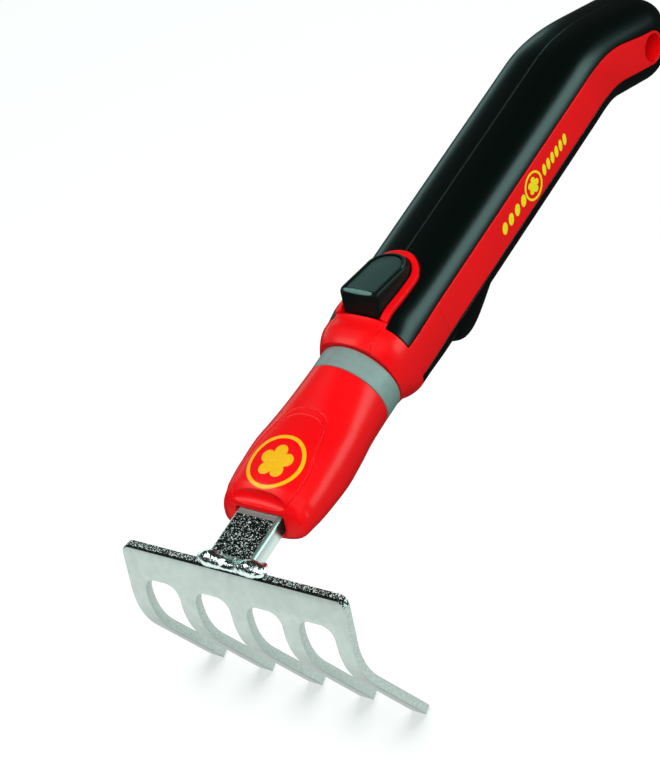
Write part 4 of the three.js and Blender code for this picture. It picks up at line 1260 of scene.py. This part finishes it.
def emblem_plate(name, near, far, steps=8):
    """A thin raised plate that follows the head's top from one outline out to another."""
    points = []
    for level, shares in ((EMBLEM_LIFT, spread(0, 1, steps)), (-EMBLEM_DEPTH, spread(1, 0, steps))):
        for share in shares:
            edge = EMBLEM_EDGE if level > 0 and share in (0, 1) else 0
            for (ax, ay), (bx, by) in zip(near, far):
                x, y = ax + (bx - ax) * share, ay + (by - ay) * share
                points.append((x, y, head_top(x, y) + level - edge))
    faces = skin(2 * steps + 2, len(near), wrap=near[0] != near[1])
    return face_out(make_object(name, points, faces))


class RAKE_OT_head(bpy.types.Operator):
    """Makes the red head shell with its mouth, its grooved panel and the yellow emblem"""
    bl_idname = "rake.head"
    bl_label = "Head"

    def execute(self, context):
        sizes = context.scene.rake_sizes
        groove = millimetres(sizes.groove)
        width = millimetres(sizes.tang_width)
        height = TANG_HEIGHT + 2 * GAP
        mouth = rounded_box(width + 2 * MOUTH_CLEARANCE, height, TANG_EDGE, TANG_TOP + GAP - height / 2)
        shell = carve(
            head_form(),
            along_x(mouth, MOUTH_X - PAST, MOUTH_X + MOUTH_DEPTH),
            along_x(tang_outline(width, GAP), MOUTH_X, MOUTH_X + TANG_EMBED + GAP),
            rod_x(BORE - SPIGOT_WALL, HEAD_REAR - SPIGOT_ROOT - GAP, HEAD_REAR + PAST),
            pin_hole(-20, TANG_TOP + 2 * GAP),
            tube("cutter", surface_path(mirrored(OUTER_GROOVE)), groove),
            tube("cutter", surface_path(mirrored(INNER_GROOVE), groove * 0.3), groove * 0.8),
            lip_hollow(),
        )
        shell.name = "head_shell_fine"
        finish_piece(shell, "head", "red_plastic", "red", "head_shell", angle=30)

        count = 160
        radius = millimetres(sizes.emblem_radius)
        inner, outer = [circle(EMBLEM_X, 0, reach, count) for reach in (radius - EMBLEM_BAND, radius)]
        flower = rosette(EMBLEM_X, 0, radius, sizes.petals, count)
        for plate in (emblem_plate("emblem_ring", inner, outer),
                      emblem_plate("emblem_rosette", [(EMBLEM_X, 0)] * count, flower)):
            finish_piece(plate, "head", "red_plastic", "yellow", angle=40)
        return {"FINISHED"}


class RAKE_OT_socket(bpy.types.Operator):
    """Turns the grey socket sleeve with its visible ring"""
    bl_idname = "rake.socket"
    bl_label = "Socket"

    def execute(self, context):
        level, bottom = RING - RING_EDGE, SLEEVE_REAR - SLEEVE_END
        profile = [(RING_FRONT, BORE), *arc(RING_FRONT + RING_EDGE, level, RING_EDGE, 180, 90, 4),
                   *arc(RING_REAR - RING_EDGE, level, RING_EDGE, 90, 0, 4), (RING_REAR, BARREL),
                   (SLEEVE_REAR, BARREL), (SLEEVE_REAR, SLEEVE_HOLE), (bottom, SLEEVE_HOLE), (bottom, BORE)]
        sleeve = carve(turned("socket_ring", profile, 128), catch_window(20))
        finish_piece(sleeve, "handle", "grey_plastic", "grey", "socket_sleeve", angle=35)
        return {"FINISHED"}


class RAKE_OT_shells(bpy.types.Operator):
    """Makes the two red handle shells, the nose cover and the bow round the button"""
    bl_idname = "rake.shells"
    bl_label = "Handle shells"

    def execute(self, context):
        shell = carve(
            handle_form(0), ("INTERSECT", self.flats()), ("UNION", self.bow()),
            carve(grip_mask(True, 0), handle_form(GRIP_SKIN + GAP)),
            carve(grip_mask(False, 0), handle_form(GRIP_SKIN + GAP)),
            cover_block(GAP / 2),
            along_z(recess_outline(0, RECESS_FRONT), RECESS_FLOOR, REACH),
            catch_window(RECESS_FLOOR + GAP),
            rod_x(BARREL + GAP, NOSE_X - PAST, SLEEVE_REAR + GAP),
            self.inside(),
            rod_y(HOLE_RADIUS, *point_over(HOLE_ALONG, -HOLE_DROP), -REACH, REACH, 96),
            rod_y(PIN_RADIUS + GAP, *PIVOT, -RECESS_HALF - PIN_SEAT, RECESS_HALF + PIN_SEAT),
        )
        for word, side in SIDES.items():
            half = carve(copy_of(shell, f"handle_half_{word}"), ("INTERSECT", half_space(side)))
            for along in SCREW_ALONGS:
                x, z, _ = handle_place(along)
                carve(half, rod_y(SCREW_RADIUS + GAP, x, z, SCREW_TIP - GAP, SEAT_DEPTH + GAP),
                      rod_y(SCREW_HEAD + GAP, x, z, SEAT_DEPTH - GAP, REACH))
            biggest(half)
            finish_piece(half, "handle", "red_plastic", "red", f"handle_shell_{word}", angle=30)
        bpy.data.objects.remove(shell, do_unlink=True)
        cover = carve(cover_block(0), ("INTERSECT", handle_form(0)),
                      ("INTERSECT", block(NOSE_X, RECESS_FRONT, -REACH, REACH, 0, REACH)))
        biggest(cover)
        cover.name = "nose_cover_fine"
        finish_piece(cover, "handle", "red_plastic", "red", "nose_cover", angle=30)
        return {"FINISHED"}

    def flats(self):
        """All between the two flat side strips, which close in along the droop."""
        start, end = handle_place(STRAIGHT)[0], handle_place(DROOP_END)[0]
        nose_end, far = NOSE_X + NOSE_LENGTH, end + 60
        right = [(far, REAR_STRIP_HALF), (end, REAR_STRIP_HALF), (start, STRIP_HALF), (nose_end, STRIP_HALF),
                 (nose_end, BEYOND), (0, BEYOND)]
        return along_z([(x, -y) for x, y in right[::-1]] + right, -2 * BEYOND, 2 * BEYOND)

    def bow(self):
        """The bow that stands out a little round the button's recess."""
        outline = along_z(recess_outline(BOW, RECESS_FRONT), RECESS_FLOOR, REACH)
        return carve(handle_form(-BOW_RISE), ("INTERSECT", outline))

    def inside(self):
        """The hollow behind the socket, less the bosses of the screws."""
        end = handle_place(HOLE_ALONG - HOLE_RADIUS - HOLE_WALL)[0]
        room = block(SLEEVE_REAR + GAP + WALL, end, -REACH, REACH, -2 * REACH, REACH)
        bosses = [rod_y(SCREW_BOSS, *handle_place(along)[:2], -REACH, REACH) for along in SCREW_ALONGS]
        return carve(handle_form(GRIP_SKIN + GAP + WALL), ("INTERSECT", room), *bosses)


class RAKE_OT_grips(bpy.types.Operator):
    """Makes the four soft grip bands with the finger stop"""
    bl_idname = "rake.grips"
    bl_label = "Grips"

    def execute(self, context):
        for upper, level in ((True, "upper"), (False, "lower")):
            band = carve(handle_form(0, not upper), handle_form(GRIP_SKIN),
                         ("INTERSECT", grip_mask(upper, GAP)))
            for word, side in SIDES.items():
                grip = carve(copy_of(band, f"soft_grip_{level}_{word}"), ("INTERSECT", half_space(side)))
                biggest(grip)
                finish_piece(grip, "handle", "grip_rubber", "grip", f"grip_{level}_{word}", angle=30)
            bpy.data.objects.remove(band, do_unlink=True)
        return {"FINISHED"}


def button_outline(shrink, front):
    half = BUTTON_HALF - shrink
    corner = max(BUTTON_CORNER - shrink, 0.5)
    points = [(front + corner, -half)] + arc(BUTTON_REAR - BUTTON_HALF, 0, half, -90, 90, 40)
    points += arc(front + corner, half - corner, corner, 90, 180, 8)
    return points + arc(front + corner, corner - half, corner, 180, 270, 8)[:-1]


def roof_height(x):
    share = (x - BUTTON_FRONT) / (BUTTON_REAR - BUTTON_FRONT)
    return BUTTON_FRONT_TOP + (BUTTON_REAR_TOP - BUTTON_FRONT_TOP) * share


def sole_height(x):
    share = max((HEEL - x) / (HEEL - BUTTON_FOOT), 0)
    return BUTTON_REAR_BOTTOM + (BUTTON_FRONT_BOTTOM - BUTTON_REAR_BOTTOM) * share


def under_roof(below):
    """All of the recess that lies at least so far below the button's sloping top."""
    ends = (BUTTON_FOOT - 3, BUTTON_REAR + 2)
    line = [(x, roof_height(x) - below) for x in ends]
    return along_y(line + [(x, 0) for x in ends[::-1]], -RECESS_HALF, RECESS_HALF)


class RAKE_OT_button(bpy.types.Operator):
    """Makes the release button with its rim and its grained pad"""
    bl_idname = "rake.button"
    bl_label = "Button"

    def execute(self, context):
        pocket = carve(
            under_roof(BUTTON_ROOF),
            ("INTERSECT", along_z(button_outline(BUTTON_WALL, BUTTON_FRONT + BUTTON_WALL), 0, BEYOND)),
            ("INTERSECT", block(0, POCKET_REAR, -BUTTON_HALF, BUTTON_HALF, 0, BEYOND)))
        middle = (CATCH_FRONT + CATCH_REAR) / 2
        stem = block(middle - STEM_HALF, middle + STEM_HALF, -STEM_HALF_WIDTH, STEM_HALF_WIDTH, BARREL,
                     BUTTON_FRONT_TOP - BUTTON_ROOF)
        seat = carve(along_z(button_outline(SEAT_INSET, BUTTON_FRONT + SEAT_INSET), 0, BEYOND),
                     ("INTERSECT", under_roof(-2)), under_roof(PAD_SEAT))
        body = carve(self.wedge(), pocket, ("UNION", stem), seat,
                     rod_y(PIN_RADIUS + GAP, *PIVOT, -RECESS_HALF, RECESS_HALF))
        finish_piece(body, "button", "black_plastic", "button", "release_button", angle=35)

        pad = carve(along_z(button_outline(PAD_INSET, BUTTON_FRONT + PAD_FRONT), 0, BEYOND),
                    ("INTERSECT", under_roof(PAD_TOP)), under_roof(PAD_SEAT - GAP))
        pad = bevelled(pad, PAD_BEVEL, 40)
        pad.name = "button_pad_grained"
        finish_piece(self.lip(), "button", "black_plastic", "lip", angle=60)
        # The rim wears the pad's lighter finish as a painted highlight along the chamfer.
        finish_piece(self.rim(), "button", "black_plastic", "pad", angle=60)
        finish_piece(pad, "button", "black_plastic", "pad", "button_pad", angle=35)
        return {"FINISHED"}

    def wedge(self):
        """The button's outer form, with its shoulder rounded."""
        narrowing, depth, setback = BUTTON_SHOULDER
        lean = (BUTTON_FRONT - BUTTON_FOOT) / (BUTTON_FRONT_TOP - BUTTON_FRONT_BOTTOM)
        low = [(x, y, sole_height(x)) for x, y in button_outline(BUTTON_EDGE, BUTTON_FOOT + BUTTON_EDGE)]
        rings = [low, [(x, y, sole_height(x) + BUTTON_EDGE) for x, y in button_outline(0, BUTTON_FOOT)]]
        for turn in spread(0, math.pi / 2, 8):
            below, inset = depth * (1 - math.sin(turn)), 1 - math.cos(turn)
            outline = button_outline(narrowing * inset, BUTTON_FRONT - lean * below + setback * inset)
            rings.append([(x, y, roof_height(x) - below) for x, y in outline])
        return loft("button_body", rings)

    def lip(self):
        """The thick front lip, thinner towards its ends; its light finish is a painted highlight on the
        rounded front edge.
        """
        x = BUTTON_FRONT + LIP_BEHIND
        spine = [(x, y, roof_height(x) - LIP_SINK) for y in spread(-LIP_HALF, LIP_HALF, 24)]
        swell = [LIP_RADIUS * math.sin(math.pi * share) ** 0.16 for share in spread(0.04, 0.96, 24)]
        return tube("button_lip", spine, swell, 16)

    def rim(self):
        """The fine rim round the pad, from one end of the lip to the other; the pad's lighter finish on it is
        a painted highlight along the chamfer.
        """
        start = BUTTON_FRONT + RIM_FROM
        edge = [(x, y) for x, y in button_outline(RIM_INSET, BUTTON_FRONT) if x > start]
        edge.sort(key=lambda spot: math.atan2(spot[1], spot[0] - start))
        return tube("button_rim", [(x, y, roof_height(x) - RIM_SINK) for x, y in edge], RIM_RADIUS, 12)


class RAKE_OT_screws(bpy.types.Operator):
    """Sets the shell screws along the handle with a Geometry Nodes tree"""
    bl_idname = "rake.screws"
    bl_label = "Shell screws"

    def execute(self, context):
        seat, shank, head = SEAT_DEPTH, SCREW_RADIUS, SCREW_HEAD
        profile = [(SCREW_TIP, 0), (SCREW_TIP, 0.9), (SCREW_TIP + 1, shank), (seat, shank), (seat, 2.5),
                   (seat + 0.25, head), (seat + 1.3, head), (seat + 1.75, 2.35), (seat + 2, 1.7),
                   (seat + 2, 0)]
        length, width = CROSS_HALVES
        screw = carve(turned("screw_seed", profile, 40),
                      block(seat + CROSS_FLOOR, seat + PAST, -width, width, -length, length),
                      block(seat + CROSS_FLOOR, seat + PAST, -length, length, -width, width))
        smooth(screw)
        spots = [(x, 0, z) for x, z, _ in map(handle_place, SCREW_ALONGS)]
        row = scatter("shell_screw_row", spots, screw, "steel", Matrix.Rotation(math.pi / 2, 4, "Z"))
        nodes = [f"shell_screw_{i + 1}" for i in range(len(spots))]
        finish_piece(row, "handle", "steel", "steel", *nodes, angle=32)
        return {"FINISHED"}


class RAKE_OT_marks(bpy.types.Operator):
    """Sets a plain rosette with two rows of leaves on the visible side strip, and the dotted top seam"""
    bl_idname = "rake.marks"
    bl_label = "Strip marks and seam"

    def execute(self, context):
        sizes = context.scene.rake_sizes
        radius = millimetres(sizes.mark_radius)
        span = (-STRIP_HALF - MARK_LIFT, -STRIP_HALF + MARK_DEPTH)
        ring = carve(along_y(circle(MARK_X, MARK_LEVEL, radius, 96), *span),
                     along_y(circle(MARK_X, MARK_LEVEL, radius - MARK_BAND, 96), -BEYOND, BEYOND))
        ring.name = "strip_ring"
        flower = along_y(rosette(MARK_X, MARK_LEVEL, radius, sizes.petals, 120), *span)
        flower.name = "strip_rosette"
        pieces = [ring, flower]
        for part, (first, pitch, count, half) in LEAF_ROWS.items():
            leaf = [(half * math.cos(t) + LEAF_SLANT * math.sin(t), LEAF_HALF_HEIGHT * math.sin(t))
                    for t in turns(32)]
            spots = [(first + pitch * i, 0, MARK_LEVEL) for i in range(count)]
            pieces.append(scatter(f"strip_leaves_{part}", spots, along_y(leaf, *span), "mark"))
        for piece in pieces:
            # The marks wear the lifted yellow, painted light that brightens them on the side strip.
            finish_piece(piece, "handle", "red_plastic", "mark", angle=40)

        alongs = spread(RECESS_REAR - NOSE_X + BOW + SEAM_START, HANDLE_END - END_ROUND, sizes.seam_dots - 1)
        tops = [point_over(along, GRIP_TOP * taper(along) - SEAM_SINK) for along in alongs]
        seed = turned("seam_dot_seed", SEAM_DOT, 10)
        smooth(seed)
        dots = scatter("grip_seam_dots", [(x, 0, z) for x, z in tops], seed, "seam")
        finish_piece(dots, "handle", "grip_rubber", "seam", angle=60)
        return {"FINISHED"}


class RAKE_OT_studio(bpy.types.Operator):
    """Sets the pale floor, the soft lights and the camera"""
    bl_idname = "rake.studio"
    bl_label = "Studio"

    def execute(self, context):
        scene = context.scene
        studio = scene.rake_studio
        scene.view_settings.view_transform = "Standard"
        scene.view_settings.look = "None"
        scene.world = bpy.data.worlds.new("studio")
        scene.world.use_nodes = True
        sky = scene.world.node_tree.nodes["Background"].inputs
        sky[0].default_value = SKY
        sky[1].default_value = studio.sky
        names = ("dressed", "steel", "blade", "weld", "ground")
        groups = {name: bpy.data.collections.new(name) for name in names}
        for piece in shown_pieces():
            for group in ("dressed", *FAMILIES.get(piece.name, ())):
                groups[group].objects.link(piece)
        self.lay_floor(studio, groups["ground"])
        for lamp in LAMPS:
            self.hang(studio, groups, *lamp)
        scene.camera = add_object("camera", bpy.data.cameras.new("camera"))
        scene.camera.rotation_mode = "QUATERNION"
        scene.camera.rotation_quaternion = CAMERA_AXES.to_quaternion()
        scene.camera.location = (CAMERA_PLACE + HOME) / METRE
        scene.camera.data.sensor_width = CAMERA_SENSOR
        scene.camera.data.lens = CAMERA_LENS
        scene.camera.data.clip_end = 100
        return {"FINISHED"}

    def lay_floor(self, studio, ground):
        mesh = bpy.data.meshes.new("floor")
        corners = [(x * FLOOR_REACH, y * FLOOR_REACH, 0) for x, y in ((-1, -1), (1, -1), (1, 1), (-1, 1))]
        mesh.from_pydata(corners, [], [(0, 1, 2, 3)])
        paint = Finish("floor_paint", FLOOR_COLOUR, 0.8)
        paint.set("Emission Color", FLOOR_TINT)
        paint.set("Emission Strength", studio.floor_glow)
        mesh.materials.append(paint.material)
        floor = add_object("studio_floor", mesh)
        floor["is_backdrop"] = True
        ground.objects.link(floor)
        floor.visible_glossy = False
        floor.light_linking.receiver_collection = ground

    def hang(self, studio, groups, name, power, aim, way, distance, size, colour, lit, shaded):
        """Hangs a lamp that lights one group and is shaded by one, or by all."""
        light = bpy.data.lights.new(name, "AREA")
        light.shape = "RECTANGLE"
        light.size, light.size_y = size
        light.energy = getattr(studio, power)
        light.color = colour
        lamp = add_object(name, light)
        lamp.location = aim + Vector(way).normalized() * distance
        lamp.rotation_mode = "QUATERNION"
        lamp.rotation_quaternion = (lamp.location - aim).to_track_quat("Z", "Y")
        lamp.visible_glossy = power != "fill"
        lamp.light_linking.receiver_collection = groups[lit]
        if shaded:
            lamp.light_linking.blocker_collection = groups[shaded]


class RAKE_PT_panel(bpy.types.Panel):
    """Lists the rake's sizes, colours and pieces"""
    bl_idname = "RAKE_PT_panel"
    bl_label = "Hand rake"
    bl_space_type = "VIEW_3D"
    bl_region_type = "UI"
    bl_category = "Hand rake"

    def draw(self, context):
        for group in (context.scene.rake_sizes, context.scene.rake_colours, context.scene.rake_studio):
            box = self.layout.box()
            for name in group.bl_rna.properties.keys():
                if name not in ("rna_type", "name"):
                    box.prop(group, name)
        for step in STEPS:
            self.layout.operator(step.bl_idname)


GROUPS = (RakeSizes, RakeColours, RakeStudio)
STEPS = (RAKE_OT_finishes, RAKE_OT_blade, RAKE_OT_tang, RAKE_OT_head, RAKE_OT_socket, RAKE_OT_shells,
         RAKE_OT_grips, RAKE_OT_button, RAKE_OT_screws, RAKE_OT_marks, RAKE_OT_studio)


def register():
    for item in (*GROUPS, *STEPS, RAKE_PT_panel):
        bpy.utils.register_class(item)
    bpy.types.Scene.rake_sizes = PointerProperty(type=RakeSizes)
    bpy.types.Scene.rake_colours = PointerProperty(type=RakeColours)
    bpy.types.Scene.rake_studio = PointerProperty(type=RakeStudio)


def unregister():
    del bpy.types.Scene.rake_studio, bpy.types.Scene.rake_colours, bpy.types.Scene.rake_sizes
    for item in (RAKE_PT_panel, *reversed(STEPS), *reversed(GROUPS)):
        bpy.utils.unregister_class(item)


def main():
    register()
    for step in STEPS:
        area, name = step.bl_idname.split(".")
        getattr(getattr(bpy.ops, area), name)()


if __name__ == "__main__":
    main()
